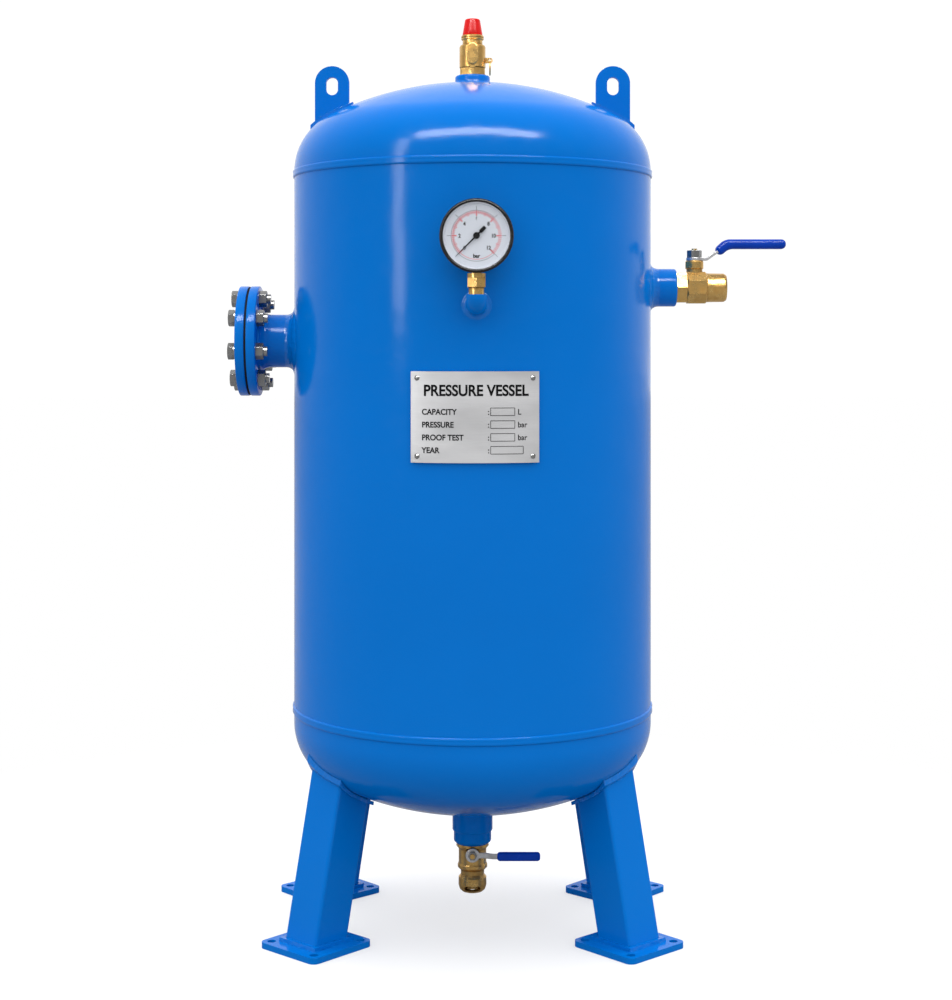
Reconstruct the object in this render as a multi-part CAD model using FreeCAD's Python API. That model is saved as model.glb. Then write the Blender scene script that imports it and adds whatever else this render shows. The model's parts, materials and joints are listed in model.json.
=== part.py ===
import FreeCAD, Part
import math
import os
from FreeCAD import Placement, Rotation, Vector

# Vertical air receiver: a welded vessel on four splayed legs, with a flanged and
# blanked inlet, a pressure gauge, a nameplate, two lifting lugs, a ball valve at the
# outlet, a ball valve at the drain and a safety valve on top.
#
# Frame, in millimetres: the origin lies on the floor, on the vessel's axis. +Z is up,
# +X points out of the outlet and -Y faces the person who reads the gauge.

X, Y, Z = Vector(1, 0, 0), Vector(0, 1, 0), Vector(0, 0, 1)

# ---------------------------------------------------------------- driving dimensions
FIT = 0.1                      # radial clearance of a threaded or inserted joint
RUNNING = 0.05                 # radial clearance of a stem in its bore, ball in its seats
MOVING_GAP = 0.3               # space between a moving piece and what it passes

# Vessel
SHELL_R = 300.0
WALL = 5.0
CROWN_R = 540.0
KNUCKLE_R = 102.0
LOWER_SEAM_Z = 361.0
UPPER_SEAM_Z = 1254.0
LOWER_FLANGE = 24.0            # straight part of the lower head, below its seam
UPPER_FLANGE = 6.0             # straight part of the upper head, above its seam
SEAM_WIDTH = 13.0
SEAM_HEIGHT = 2.5
NOZZLE_DEPTH = 15.0            # how far a nozzle reaches in past the vessel's outside

# Legs and base plates
LEG_SIDE = 72.0
LEG_WALL = 5.0
LEG_SPLAY = 0.176              # travel outwards per unit of height
LEG_TURN = 2.5                 # degrees that each tube is turned past its diagonal
FOOT_INSET = 6.7               # of each foot's centre inside the shell's radius
FOOT_AZIMUTH = 30.8            # degrees from X to each foot
PLATE_SIDE = 130.0
PLATE_THICK = 10.0
PLATE_CORNER_R = 12.0
ANCHOR_R = 7.0
ANCHOR_REACH = 71.0            # from a foot's centre to each anchor hole
BEAD = 6.0                     # leg of the weld beads on legs

# Lifting lugs
LUG_INSET = 63.0               # of each lug's middle inside the shell's radius
LUG_WIDTH = 58.0
LUG_THICK = 12.0
LUG_RISE = 185.0               # top of a lug above the upper seam
EYE_DROP = 34.0                # middle of the eye below the lug's top
EYE_WIDTH, EYE_HEIGHT = 19.5, 30.0
LUG_BEAD = 7.0

# Flanged inlet, on -X
INLET_DROP = 279.0             # below the upper seam
NECK_R, NECK_BORE_R = 44.5, 35.0
FLANGE_R, FLANGE_THICK = 92.5, 15.0
FLANGE_STANDOFF = 58.0         # from the shell to the flange's back face
HUB_R, HUB_LENGTH = 54.0, 16.0
GASKET_THICK = 3.3
GASKET_INSET = 1.5
BOLT_CIRCLE_R = 72.5
BOLT_COUNT = 8
BOLT_PHASE = 13.5              # degrees from level to the first bolt
BOLT_R, BOLT_HOLE_R = 8.0, 9.0
HEX_FLATS = 24.0
HEAD_THICK, NUT_THICK = 10.0, 13.0
WASHER_R, WASHER_THICK = 13.0, 3.0
BOLT_END = 6.0                 # thread standing out of each nut

# Gauge, on -Y
ELBOW_DROP = 224.0             # below the upper seam
ELBOW_R, ELBOW_BORE_R = 15.5, 9.0
ELBOW_RISE = 15.0              # of the elbow's mouth above its level run
GAUGE_X = 6.0
GAUGE_STANDOFF = 45.0          # of the gauge's stem from the shell
GAUGE_STEM = 34.0              # from the elbow's mouth to the case
GAUGE_COLLAR_R = 14.0
GAUGE_NECK_R = 11.8
GAUGE_HEX = 27.0
CASE_R, CASE_WALL, CASE_DEPTH = 54.0, 1.5, 34.0
BEZEL_PROUD, BEZEL_DEPTH, BEZEL_LIP = 2.0, 11.5, 5.5
DIAL_THICK = 1.0
WINDOW_THICK = 3.0
POINTER_SWEEP = 270.0
POINTER_REST = 225.0           # direction of the pointer at zero, degrees from +X
POINTER_LENGTH, POINTER_TAIL = 43.0, 18.5
TAIL_WIDE, TAIL_START = 5.6, 8.0   # the broad end of the pointer, and where it starts
PINION_R = 3.0
SECTOR_RATIO = 7.0

# Nameplate, rolled to the shell
NAME_X, NAME_DROP = 4.0, 395.5
NAME_WIDTH, NAME_HEIGHT, NAME_THICK = 200.0, 140.0, 1.2
BRACKET_THICK, BRACKET_INSET = 4.0, 4.0
SCREW_INSET = 10.0
SCREW_R, SCREW_HEAD_R, SCREW_HEAD = 2.0, 4.2, 2.2
SCREW_DEPTH = 4.5

# Outlet coupling and ball valve, on +X
OUTLET_DROP = 189.0            # below the upper seam
COUPLING_R, COUPLING_BORE_R = 31.85, 21.0
COUPLING_STANDOFF = 43.5       # from the shell to the coupling's end
OUTLET_STEM_OFFSET = 31.5      # from the coupling's end to the stem

# Drain coupling and ball valve, on -Z
DRAIN_COLLAR_R, DRAIN_COUPLING_R = 34.0, 31.7
DRAIN_COLLAR_DROP = 38.7       # below the lower head
DRAIN_COUPLING_DROP = 60.2     # below the lower head
DRAIN_STEM_OFFSET = 12.0       # from the coupling's end to the stem

# Safety valve, on +Z
SOCKET_R, SOCKET_BORE_R = 29.4, 16.0
SOCKET_RISE = 13.7             # above the upper head
RELIEF_HEX, RELIEF_HEX_HEIGHT = 42.0, 12.0
RELIEF_R, RELIEF_HEIGHT = 22.0, 41.0
RELIEF_NECK_R, RELIEF_NECK_HEIGHT = 16.8, 7.0
RELIEF_CAVITY_R = 13.0
ORIFICE_R = 8.0
BONNET_R, BONNET_HEIGHT = 19.0, 8.0
CAP_BASE_R, CAP_TOP_R, CAP_HEIGHT = 16.8, 13.0, 28.5
CAP_WALL = 2.5
SPINDLE_R = 4.0
RELIEF_LIFT = 3.0
SPRING_R, SPRING_WIRE_R, SPRING_TURNS = 9.0, 1.2, 6
RING_R, RING_WIRE_R, RING_EYE_R = 11.7, 1.3, 2.3
RING_STANDOFF = 7.5            # from the valve's body to the ring

# -------------------------------------------------------------- values worked out
LOWER_TANGENT_Z = LOWER_SEAM_Z - LOWER_FLANGE
UPPER_TANGENT_Z = UPPER_SEAM_Z + UPPER_FLANGE
CROWN_DROP = math.sqrt((CROWN_R - KNUCKLE_R) ** 2 - (SHELL_R - KNUCKLE_R) ** 2)
HEAD_DEPTH = CROWN_R - CROWN_DROP
TOP_Z = UPPER_TANGENT_Z + HEAD_DEPTH
BOTTOM_Z = LOWER_TANGENT_Z - HEAD_DEPTH
FOOT_X = (SHELL_R - FOOT_INSET) * math.cos(math.radians(FOOT_AZIMUTH))
FOOT_Y = (SHELL_R - FOOT_INSET) * math.sin(math.radians(FOOT_AZIMUTH))
LUG_X = SHELL_R - LUG_INSET
LUG_TOP_Z = UPPER_SEAM_Z + LUG_RISE
EYE_Z = LUG_TOP_Z - EYE_DROP
INLET_Z = UPPER_SEAM_Z - INLET_DROP
FLANGE_BACK_X = SHELL_R + FLANGE_STANDOFF
ELBOW_Z = UPPER_SEAM_Z - ELBOW_DROP
ELBOW_TOP_Z = ELBOW_Z + ELBOW_RISE
GAUGE_Y = -SHELL_R - GAUGE_STANDOFF
GAUGE_Z = ELBOW_TOP_Z + GAUGE_STEM + CASE_R
BEZEL_R = CASE_R + BEZEL_PROUD
NAME_Z = UPPER_SEAM_Z - NAME_DROP
OUTLET_Z = UPPER_SEAM_Z - OUTLET_DROP
COUPLING_END_X = SHELL_R + COUPLING_STANDOFF
OUTLET_STEM_X = COUPLING_END_X + OUTLET_STEM_OFFSET
DRAIN_COLLAR_Z = BOTTOM_Z - DRAIN_COLLAR_DROP
DRAIN_COUPLING_END_Z = BOTTOM_Z - DRAIN_COUPLING_DROP
DRAIN_STEM_Z = DRAIN_COUPLING_END_Z - DRAIN_STEM_OFFSET
SOCKET_TOP_Z = TOP_Z + SOCKET_RISE
RING_X = RELIEF_R + RING_STANDOFF


# ------------------------------------------------------------------ shape helpers
def turned(outline):
    """A solid of revolution about Z from a closed outline of (radius, height)."""
    wire = Part.makePolygon([Vector(r, 0, z) for r, z in outline + outline[:1]])
    return Part.Face(wire).revolve(Vector(), Z, 360)


def rod(radius, length, base=Vector(), axis=Z):
    return Part.makeCylinder(radius, length, base, axis)


def pipe(outer, inner, length, base=Vector(), axis=Z):
    return rod(outer, length, base, axis).cut(rod(inner, length, base, axis))


def box(low, high):
    size = high - low
    return Part.makeBox(size.x, size.y, size.z, low)


def prism(points, travel):
    return Part.Face(Part.makePolygon(points + points[:1])).extrude(travel)


def regular(flats, sides, height, base=Vector(), turn=0.0):
    """An upright prism with that many sides and that distance across its flats."""
    radius = flats / 2 / math.cos(math.pi / sides)
    angles = [math.radians(turn) + 2 * math.pi * i / sides for i in range(sides)]
    corners = [base + Vector(radius * math.cos(a), radius * math.sin(a), 0) for a in angles]
    return prism(corners, Z * height)


def placed(shape, origin, along, up):
    """Moves a piece from its own X (along) and Z (up) axes to the vessel's frame."""
    side = up.cross(along)
    turn = FreeCAD.Matrix(
        along.x, side.x, up.x, origin.x,
        along.y, side.y, up.y, origin.y,
        along.z, side.z, up.z, origin.z,
        0, 0, 0, 1)
    copy = shape.copy()
    copy.Placement = Placement(turn) * copy.Placement
    return copy


def aimed(shape, base, axis):
    """Turns a piece that stands on its own Z so that it stands on axis at base."""
    copy = shape.copy()
    copy.Placement = Placement(base, Rotation(Z, axis)) * copy.Placement
    return copy


def mirrored(shape, across_x, across_y):
    for needed, normal in ((across_x, X), (across_y, Y)):
        if needed:
            shape = shape.mirror(Vector(), normal)
    return shape


def group(shapes):
    return Part.makeCompound(shapes)


# ------------------------------------------------------------------------- vessel
def head_arcs(shrink):
    """The head's outside as edges from its tangent circle to its apex, tangent at z=0."""
    toward = Vector(SHELL_R - KNUCKLE_R, 0, CROWN_DROP).normalize()
    knuckle, crown = KNUCKLE_R - shrink, CROWN_R - shrink
    crown_centre = Vector(0, 0, -CROWN_DROP)
    knuckle_centre = Vector(SHELL_R - KNUCKLE_R, 0, 0)
    start = knuckle_centre + X * knuckle
    joint = knuckle_centre + toward * knuckle
    apex = crown_centre + Z * crown
    knuckle_mid = knuckle_centre + (X + toward).normalize() * knuckle
    crown_mid = crown_centre + (Z + toward).normalize() * crown
    return [Part.Arc(start, knuckle_mid, joint).toShape(), Part.Arc(joint, crown_mid, apex).toShape()]


def dished(flange, outside, inside):
    """A head from outside to inside (both as offsets inwards), dome up, flange below."""
    outer, inner = head_arcs(outside), head_arcs(inside)
    outer_r, inner_r = SHELL_R - outside, SHELL_R - inside
    outer_apex, inner_apex = HEAD_DEPTH - outside, HEAD_DEPTH - inside
    edges = [
        Part.makeLine(Vector(outer_r, 0, -flange), Vector(outer_r, 0, 0)),
        *outer,
        Part.makeLine(Vector(0, 0, outer_apex), Vector(0, 0, inner_apex)),
        *reversed(inner),
        Part.makeLine(Vector(inner_r, 0, 0), Vector(inner_r, 0, -flange)),
        Part.makeLine(Vector(inner_r, 0, -flange), Vector(outer_r, 0, -flange))]
    return Part.Face(Part.Wire(Part.__sortEdges__(edges))).revolve(Vector(), Z, 360)


def envelope(extra=0.0):
    """The vessel's outside as one filled solid, grown by extra."""
    upper = [e.translated(Z * UPPER_TANGENT_Z) for e in head_arcs(-extra)]
    lower = [e.mirror(Vector(), Z).translated(Z * LOWER_TANGENT_Z) for e in head_arcs(-extra)]
    side = SHELL_R + extra
    edges = upper + lower + [
        Part.makeLine(Vector(side, 0, LOWER_TANGENT_Z), Vector(side, 0, UPPER_TANGENT_Z)),
        Part.makeLine(Vector(0, 0, BOTTOM_Z - extra), Vector(0, 0, TOP_Z + extra))]
    return Part.Face(Part.Wire(Part.__sortEdges__(edges))).revolve(Vector(), Z, 360)


def vessel():
    shell = pipe(SHELL_R, SHELL_R - WALL, UPPER_SEAM_Z - LOWER_SEAM_Z, Z * LOWER_SEAM_Z)
    for radius, height, axis in (
            (NECK_R, INLET_Z, -X), (COUPLING_R, OUTLET_Z, X)):
        shell = shell.cut(rod(radius + FIT, 2 * SHELL_R, Z * height, axis))
    shell = shell.cut(rod(ELBOW_R + FIT, 2 * SHELL_R, Vector(GAUGE_X, 0, ELBOW_Z), -Y))

    top_head = dished(UPPER_FLANGE, 0, WALL).translated(Z * UPPER_TANGENT_Z)
    top_head = top_head.cut(rod(SOCKET_R + FIT, 2 * HEAD_DEPTH, Z * UPPER_TANGENT_Z))
    bottom_head = dished(LOWER_FLANGE, 0, WALL).rotated(Vector(), X, 180)
    bottom_head = bottom_head.translated(Z * LOWER_TANGENT_Z)
    bottom_head = bottom_head.cut(rod(DRAIN_COLLAR_R + FIT, LOWER_TANGENT_Z))

    half, edge = SEAM_WIDTH / 2, SEAM_HEIGHT / 2
    seam = turned([
        (SHELL_R, -half), (SHELL_R + edge, -half), (SHELL_R + SEAM_HEIGHT, edge - half),
        (SHELL_R + SEAM_HEIGHT, half - edge), (SHELL_R + edge, half), (SHELL_R, half)])
    seams = group([seam.translated(Z * z) for z in (LOWER_SEAM_Z, UPPER_SEAM_Z)])
    return {"shell": shell, "top_head": top_head, "bottom_head": bottom_head,
            "girth_welds": seams}


# --------------------------------------------------------------------------- legs
def leg_prism(grow, low, high):
    """The tube of the leg at (+X, -Y), as a filled sloping prism between two heights."""
    reach = (LEG_SIDE / 2 + grow) * math.sqrt(2)
    outward = Vector(FOOT_X, -FOOT_Y, 0).normalize()
    lean = Z - outward * LEG_SPLAY
    foot = Vector(FOOT_X, -FOOT_Y, PLATE_THICK)
    corners = []
    for quarter in range(4):
        angle = math.radians(90 * quarter - LEG_TURN)
        corner = foot + Vector(reach * math.cos(angle), reach * math.sin(angle), 0)
        corners.append(corner + lean * (low - PLATE_THICK))
    return prism(corners, lean * (high - low))


def legs():
    top = LOWER_TANGENT_Z + KNUCKLE_R
    body = envelope()
    tube = leg_prism(0, PLATE_THICK, top).cut(leg_prism(-LEG_WALL, PLATE_THICK, top)).cut(body)

    ring = leg_prism(BEAD, PLATE_THICK, top).cut(leg_prism(0, PLATE_THICK, top))
    upper_bead = ring.common(envelope(BEAD)).cut(body)
    lower_bead = ring.common(box(Vector(0, -SHELL_R * 2, 0), Vector(SHELL_R * 2, 0, PLATE_THICK + BEAD)))

    half = PLATE_SIDE / 2
    plate = box(Vector(-half, -half, 0), Vector(half, half, PLATE_THICK))
    plate = plate.makeFillet(PLATE_CORNER_R, [e for e in plate.Edges if abs(e.tangentAt(0).z) > 0.9])
    plate = plate.rotated(Vector(), Z, 45 - LEG_TURN)
    for quarter in range(4):
        angle = math.radians(90 * quarter - LEG_TURN)
        spot = Vector(math.cos(angle), math.sin(angle), 0) * ANCHOR_REACH
        plate = plate.cut(rod(ANCHOR_R, PLATE_THICK, spot))
    plate = plate.translated(Vector(FOOT_X, -FOOT_Y, 0))

    corners = {"front_right": (False, False), "front_left": (True, False),
               "rear_right": (False, True), "rear_left": (True, True)}
    parts = {"leg_" + name: mirrored(tube, *flips) for name, flips in corners.items()}
    parts["base_plates"] = group([mirrored(plate, *flips) for flips in corners.values()])
    parts["leg_welds"] = group(
        [mirrored(bead, *flips) for flips in corners.values() for bead in (upper_bead, lower_bead)])
    return parts


def lugs():
    radius = LUG_WIDTH / 2
    half = LUG_THICK / 2
    low = UPPER_TANGENT_Z
    blank = box(Vector(-radius, -half, low), Vector(radius, half, LUG_TOP_Z - radius))
    blank = blank.fuse(rod(radius, LUG_THICK, Vector(0, -half, LUG_TOP_Z - radius), Y)).removeSplitter()
    eye_r = EYE_WIDTH / 2
    rise = EYE_HEIGHT / 2 - eye_r
    eye = box(Vector(-eye_r, -half, EYE_Z - rise), Vector(eye_r, half, EYE_Z + rise))
    for z in (EYE_Z - rise, EYE_Z + rise):
        eye = eye.fuse(rod(eye_r, LUG_THICK, Vector(0, -half, z), Y))
    body = envelope()
    lug = blank.cut(eye).translated(X * LUG_X).cut(body)
    around = box(Vector(LUG_X - radius - LUG_BEAD, -half - LUG_BEAD, low),
                 Vector(LUG_X + radius + LUG_BEAD, half + LUG_BEAD, LUG_TOP_Z))
    bead = around.common(envelope(LUG_BEAD)).cut(body).cut(blank.translated(X * LUG_X))
    return {"lifting_lug_right": lug, "lifting_lug_left": mirrored(lug, True, False),
            "lug_welds": group([bead, mirrored(bead, True, False)])}


# -------------------------------------------------------------------------- inlet
def fillet_weld(radius, base, axis, start, flare, length):
    """A fillet round a nozzle, from the vessel's outside out to start + length."""
    outline = [(radius, start - 3 * length), (radius + flare, start - 3 * length), (radius + flare, start)]
    outline += [(radius + flare * 0.45, start + length * 0.35), (radius, start + length)]
    return aimed(turned(outline), base, axis).cut(envelope())


def crown_weld(radius, flare, length):
    """A fillet round a nozzle on a head's crown, with the apex at z=0 and the dome up."""
    inner, middle, outer = [
        math.sqrt(CROWN_R ** 2 - r ** 2) - CROWN_R for r in (radius, radius + flare * 0.45, radius + flare)]
    return turned([(radius, inner), (radius + flare, outer),
                   (radius + flare * 0.45, middle + length * 0.35), (radius, inner + length)])


def flanged_inlet():
    face = FLANGE_BACK_X + FLANGE_THICK
    at = Z * INLET_Z
    neck = pipe(NECK_R, NECK_BORE_R, FLANGE_BACK_X - HUB_LENGTH - SHELL_R + NOZZLE_DEPTH,
                Z * (SHELL_R - NOZZLE_DEPTH))
    hub_start = FLANGE_BACK_X - HUB_LENGTH
    flange = turned([
        (NECK_BORE_R, hub_start), (NECK_R, hub_start), (NECK_R + 2, hub_start + HUB_LENGTH * 0.45),
        (HUB_R, FLANGE_BACK_X), (FLANGE_R - 1, FLANGE_BACK_X), (FLANGE_R, FLANGE_BACK_X + 1),
        (FLANGE_R, face - 1), (FLANGE_R - 1, face), (NECK_BORE_R, face)])
    gasket = pipe(FLANGE_R - GASKET_INSET, NECK_BORE_R, GASKET_THICK, Z * face)
    blind_face = face + GASKET_THICK
    blind = turned([
        (0, blind_face), (FLANGE_R - 1, blind_face), (FLANGE_R, blind_face + 1),
        (FLANGE_R, blind_face + FLANGE_THICK - 1), (FLANGE_R - 1, blind_face + FLANGE_THICK),
        (0, blind_face + FLANGE_THICK)])

    outside = blind_face + FLANGE_THICK
    nut_start = FLANGE_BACK_X - NUT_THICK
    bolt = rod(BOLT_R, outside - nut_start + BOLT_END, Z * (nut_start - BOLT_END))
    bolt = bolt.fuse(rod(WASHER_R, WASHER_THICK, Z * outside))
    head = regular(HEX_FLATS, 6, HEAD_THICK, Z * (outside + WASHER_THICK))
    crown = turned([
        (0, outside), (HEX_FLATS, outside), (HEX_FLATS, outside + WASHER_THICK + HEAD_THICK - 3.5),
        (HEX_FLATS / 2 - 0.5, outside + WASHER_THICK + HEAD_THICK), (0, outside + WASHER_THICK + HEAD_THICK)])
    bolt = bolt.fuse(head.common(crown))
    nut = regular(HEX_FLATS, 6, NUT_THICK, Z * nut_start)
    nut = nut.common(turned([
        (0, nut_start), (HEX_FLATS / 2 - 0.5, nut_start), (HEX_FLATS, nut_start + 3.5),
        (HEX_FLATS, FLANGE_BACK_X), (0, FLANGE_BACK_X)])).cut(rod(BOLT_R, NUT_THICK, Z * nut_start))

    holes, bolts, nuts = [], [], []
    for i in range(BOLT_COUNT):
        angle = math.radians(BOLT_PHASE + 360 / BOLT_COUNT * i)
        spot = Vector(BOLT_CIRCLE_R * math.sin(angle), BOLT_CIRCLE_R * math.cos(angle), 0)
        holes.append(rod(BOLT_HOLE_R, outside, spot))
        bolts.append(aimed(bolt.translated(spot), at, -X))
        nuts.append(aimed(nut.translated(spot), at, -X))
    flange, gasket, blind = [s.cut(group(holes)) for s in (flange, gasket, blind)]
    return {"inlet_neck": aimed(neck, at, -X), "inlet_flange": aimed(flange, at, -X),
            "inlet_gasket": aimed(gasket, at, -X), "blind_flange": aimed(blind, at, -X),
            "flange_bolts": group(bolts), "flange_nuts": group(nuts)}


# -------------------------------------------------------------------------- gauge
def gauge():
    """The gauge on its elbow, with its Bourdon tube, sector and pointer inside the case."""
    case_back, case_front = GAUGE_Y + CASE_DEPTH / 2 + 2, GAUGE_Y - CASE_DEPTH / 2 + 2
    centre = Vector(GAUGE_X, 0, GAUGE_Z)
    parts = {}

    start = Vector(GAUGE_X, NOZZLE_DEPTH - SHELL_R, ELBOW_Z)
    corner = Vector(GAUGE_X, GAUGE_Y, ELBOW_Z)
    bend_in, bend_out = corner + Y * ELBOW_RISE, corner + Z * ELBOW_RISE
    mid = corner + (Y + Z) * (ELBOW_RISE * (1 - math.sqrt(0.5)))
    solids = []
    for radius in (ELBOW_R, ELBOW_BORE_R):
        path = Part.Wire([Part.makeLine(start, bend_in), Part.Arc(bend_in, mid, bend_out).toShape()])
        profile = Part.Wire(Part.makeCircle(radius, start, -Y))
        solids.append(path.makePipeShell([profile], True, True))
    elbow = solids[0].cut(solids[1])
    parts["gauge_elbow"] = elbow.cut(rod(GAUGE_NECK_R - 2 + FIT, 12, bend_out - Z * 12))

    base_z = GAUGE_Z - CASE_R
    at = Vector(GAUGE_X, GAUGE_Y, 0)
    hex_low, hex_high = ELBOW_TOP_Z + 11, base_z - 9
    stem = rod(GAUGE_NECK_R - 2, 10, at + Z * (ELBOW_TOP_Z - 10))
    stem = stem.fuse(rod(GAUGE_NECK_R, hex_low - ELBOW_TOP_Z, at + Z * ELBOW_TOP_Z))
    stem = stem.fuse(regular(GAUGE_HEX, 6, hex_high - hex_low, at + Z * hex_low, 30))
    collar_top = GAUGE_Z - BEZEL_R - 2 * FIT
    stem = stem.fuse(rod(GAUGE_COLLAR_R, collar_top - hex_high, at + Z * hex_high))
    stem = stem.fuse(rod(7.0, base_z + 12 - collar_top, at + Z * collar_top))
    block_low = base_z + 8
    stem = stem.fuse(box(at + Vector(-9, -7, block_low), at + Vector(9, 7, block_low + 10)))
    parts["gauge_stem"] = stem.cut(rod(3.0, base_z + 8 - ELBOW_TOP_Z + 10, at + Z * (ELBOW_TOP_Z - 10)))

    def disc(radius, back, front, hole=0.0):
        solid = rod(radius, back - front, centre + Y * back, -Y)
        return solid.cut(rod(hole, back - front, centre + Y * back, -Y)) if hole else solid

    case = disc(CASE_R, case_back, case_front).cut(disc(CASE_R - CASE_WALL, case_back - CASE_WALL, case_front))
    parts["gauge_case"] = case.cut(rod(7.0 + FIT, CASE_R, at + Z * (GAUGE_Z - CASE_R - 5)))
    window_r = BEZEL_R - BEZEL_LIP + 1.5
    bezel_back = case_front + BEZEL_DEPTH - 4
    bezel_front = bezel_back - BEZEL_DEPTH
    bezel = disc(BEZEL_R, bezel_back, bezel_front, CASE_R + FIT)
    lip = disc(BEZEL_R, case_front, bezel_front, BEZEL_R - BEZEL_LIP)
    window_seat = disc(window_r + FIT, case_front, case_front - WINDOW_THICK)
    parts["gauge_bezel"] = bezel.fuse(lip).cut(window_seat).removeSplitter()
    parts["gauge_window"] = disc(window_r, case_front, case_front - WINDOW_THICK)
    dial_back = case_front + 7
    parts["gauge_dial"] = disc(CASE_R - CASE_WALL - FIT, dial_back, dial_back - DIAL_THICK, PINION_R + 1)

    # Movement: a back plate and a front plate on pillars, on a post from the stem's block.
    plate_back, plate_front = GAUGE_Y + 9, GAUGE_Y - 3
    arm_axis = centre - Z * (PINION_R * (SECTOR_RATIO + 1))
    pin_r = 1.0
    frame = None
    for y in (plate_back, plate_front):
        plate = box(centre + Vector(-17, y - 1.5, -31), centre + Vector(17, y, 13))
        plate = plate.cut(rod(1.5 + RUNNING, 2, centre + Y * y, -Y))
        plate = plate.cut(rod(pin_r + RUNNING, 2, arm_axis + Y * y, -Y))
        frame = plate if frame is None else frame.fuse(plate)
    for x, z in ((-14, 8), (14, 8), (-12, -28), (12, -28)):
        frame = frame.fuse(rod(2.0, plate_back - plate_front, centre + Vector(x, plate_back, z), -Y))
    post = box(Vector(GAUGE_X - 6, plate_front - 1.5, block_low + 10),
               Vector(GAUGE_X + 6, plate_front, GAUGE_Z - 31))
    parts["gauge_movement"] = frame.fuse(post).removeSplitter()

    # Pointer on its spindle, with the pinion between the plates.
    angle = math.radians(POINTER_REST)
    along = Vector(math.cos(angle), 0, math.sin(angle))
    across = Vector(-along.z, 0, along.x)
    pointer_y = dial_back - DIAL_THICK - 3
    tip, tail = along * POINTER_LENGTH, along * -POINTER_TAIL
    side, start = across * (TAIL_WIDE / 2), along * -TAIL_START
    blade = [tip - across * 0.3, across * -1.4, start - across * 1.4, start - side, tail - side,
             tail + side, start + side, start + across * 1.4, across * 1.4, tip + across * 0.3]
    pointer = prism([centre + p + Y * pointer_y for p in blade], Y * -1.0)
    pointer = pointer.fuse(rod(5.0, 2.5, centre + Y * (pointer_y + 0.5), -Y))
    pointer = pointer.fuse(rod(1.5, plate_back - pointer_y, centre + Y * plate_back, -Y))
    pinion_y = plate_back - 4
    parts["gauge_pointer"] = pointer.fuse(rod(PINION_R, 4, centre + Y * pinion_y, -Y))

    # Sector: its rim is the arc that runs just clear of the pinion through the whole sweep.
    rim = PINION_R * SECTOR_RATIO - MOVING_GAP
    travel = math.radians(POINTER_SWEEP / SECTOR_RATIO)
    spread = travel / 2 + math.radians(6)
    points = [arm_axis + Vector(-3, 0, -3), arm_axis + Vector(3, 0, -3)]
    for step in range(9):
        a = math.pi / 2 - travel / 2 - spread + 2 * spread * step / 8
        points.append(arm_axis + Vector(rim * math.cos(a), 0, rim * math.sin(a)))
    sector = prism([p + Y * (pinion_y - 1) for p in points], Y * -2.0)
    pin_length = plate_back - plate_front + 1.5
    parts["gauge_sector"] = sector.fuse(rod(pin_r, pin_length, arm_axis + Y * plate_back, -Y))

    # Bourdon tube: a flat tube bent round the movement, from the block nearly full circle.
    sweep_r = CASE_R - 13
    low = math.radians(-90 + 10)
    high = low + math.radians(248)
    middle = (low + high) / 2
    ends = [centre + Vector(sweep_r * math.cos(a), GAUGE_Y + 3, sweep_r * math.sin(a)) for a in (low, middle, high)]
    path = Part.Wire([Part.Arc(*ends).toShape()])
    out = (ends[0] - centre - Y * (GAUGE_Y + 3)).normalize()
    flat = [ends[0] + out * u + Y * v for u, v in ((-2, -6), (2, -6), (2, 6), (-2, 6), (-2, -6))]
    tube = path.makePipeShell([Part.makePolygon(flat)], True, True)
    parts["gauge_tube"] = tube.cut(parts["gauge_stem"])
    return parts


# ---------------------------------------------------------------------- nameplate
def nameplate():
    def rolled(inner, thick, width, height):
        half_angle = math.degrees(width / 2 / (SHELL_R + BRACKET_THICK))
        ring = Part.makeCylinder(inner + thick, height, Z * (NAME_Z - height / 2), Z, 2 * half_angle)
        ring = ring.cut(rod(inner, height, Z * (NAME_Z - height / 2)))
        return ring.rotated(Vector(), Z, -90 - half_angle + math.degrees(NAME_X / SHELL_R))

    plate_r = SHELL_R + BRACKET_THICK
    bracket = rolled(SHELL_R, BRACKET_THICK, NAME_WIDTH - 2 * BRACKET_INSET, NAME_HEIGHT - 2 * BRACKET_INSET)
    plate = rolled(plate_r, NAME_THICK, NAME_WIDTH, NAME_HEIGHT)
    screw = rod(SCREW_R, SCREW_DEPTH, Z * (plate_r + NAME_THICK - SCREW_DEPTH))
    face = plate_r + NAME_THICK
    ball_r = (SCREW_HEAD_R ** 2 + SCREW_HEAD ** 2) / (2 * SCREW_HEAD)
    dome = Part.makeSphere(ball_r, Z * (face + SCREW_HEAD - ball_r))
    head = dome.common(rod(SCREW_HEAD_R + 1, SCREW_HEAD + 1, Z * face))
    screw = screw.fuse(head)
    screws, holes = [], []
    reach = math.degrees((NAME_WIDTH / 2 - SCREW_INSET) / plate_r)
    for side in (-1, 1):
        azimuth = math.radians(-90 + side * reach) + NAME_X / SHELL_R
        out = Vector(math.cos(azimuth), math.sin(azimuth), 0)
        for level in (-1, 1):
            base = Z * (NAME_Z + level * (NAME_HEIGHT / 2 - SCREW_INSET))
            screws.append(aimed(screw, base, out))
            holes.append(aimed(rod(SCREW_R, 2 * SHELL_R), base, out))
    return {"name_plate": plate.cut(group(holes)), "plate_bracket": bracket.cut(group(holes)),
            "plate_screws": group(screws)}


# -------------------------------------------------------------------- ball valves
# A valve is drawn with its flow along +X, its stem along +Z and its ball at the origin.
def valve_ball(radius, bore, turn):
    ball = Part.makeSphere(radius).cut(rod(bore, 4 * radius, X * (-2 * radius), X))
    slot = box(Vector(-radius, -2.5 - FIT, radius - 4), Vector(radius, 2.5 + FIT, radius + 1))
    return ball.cut(slot).rotated(Vector(), Z, turn)


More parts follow.
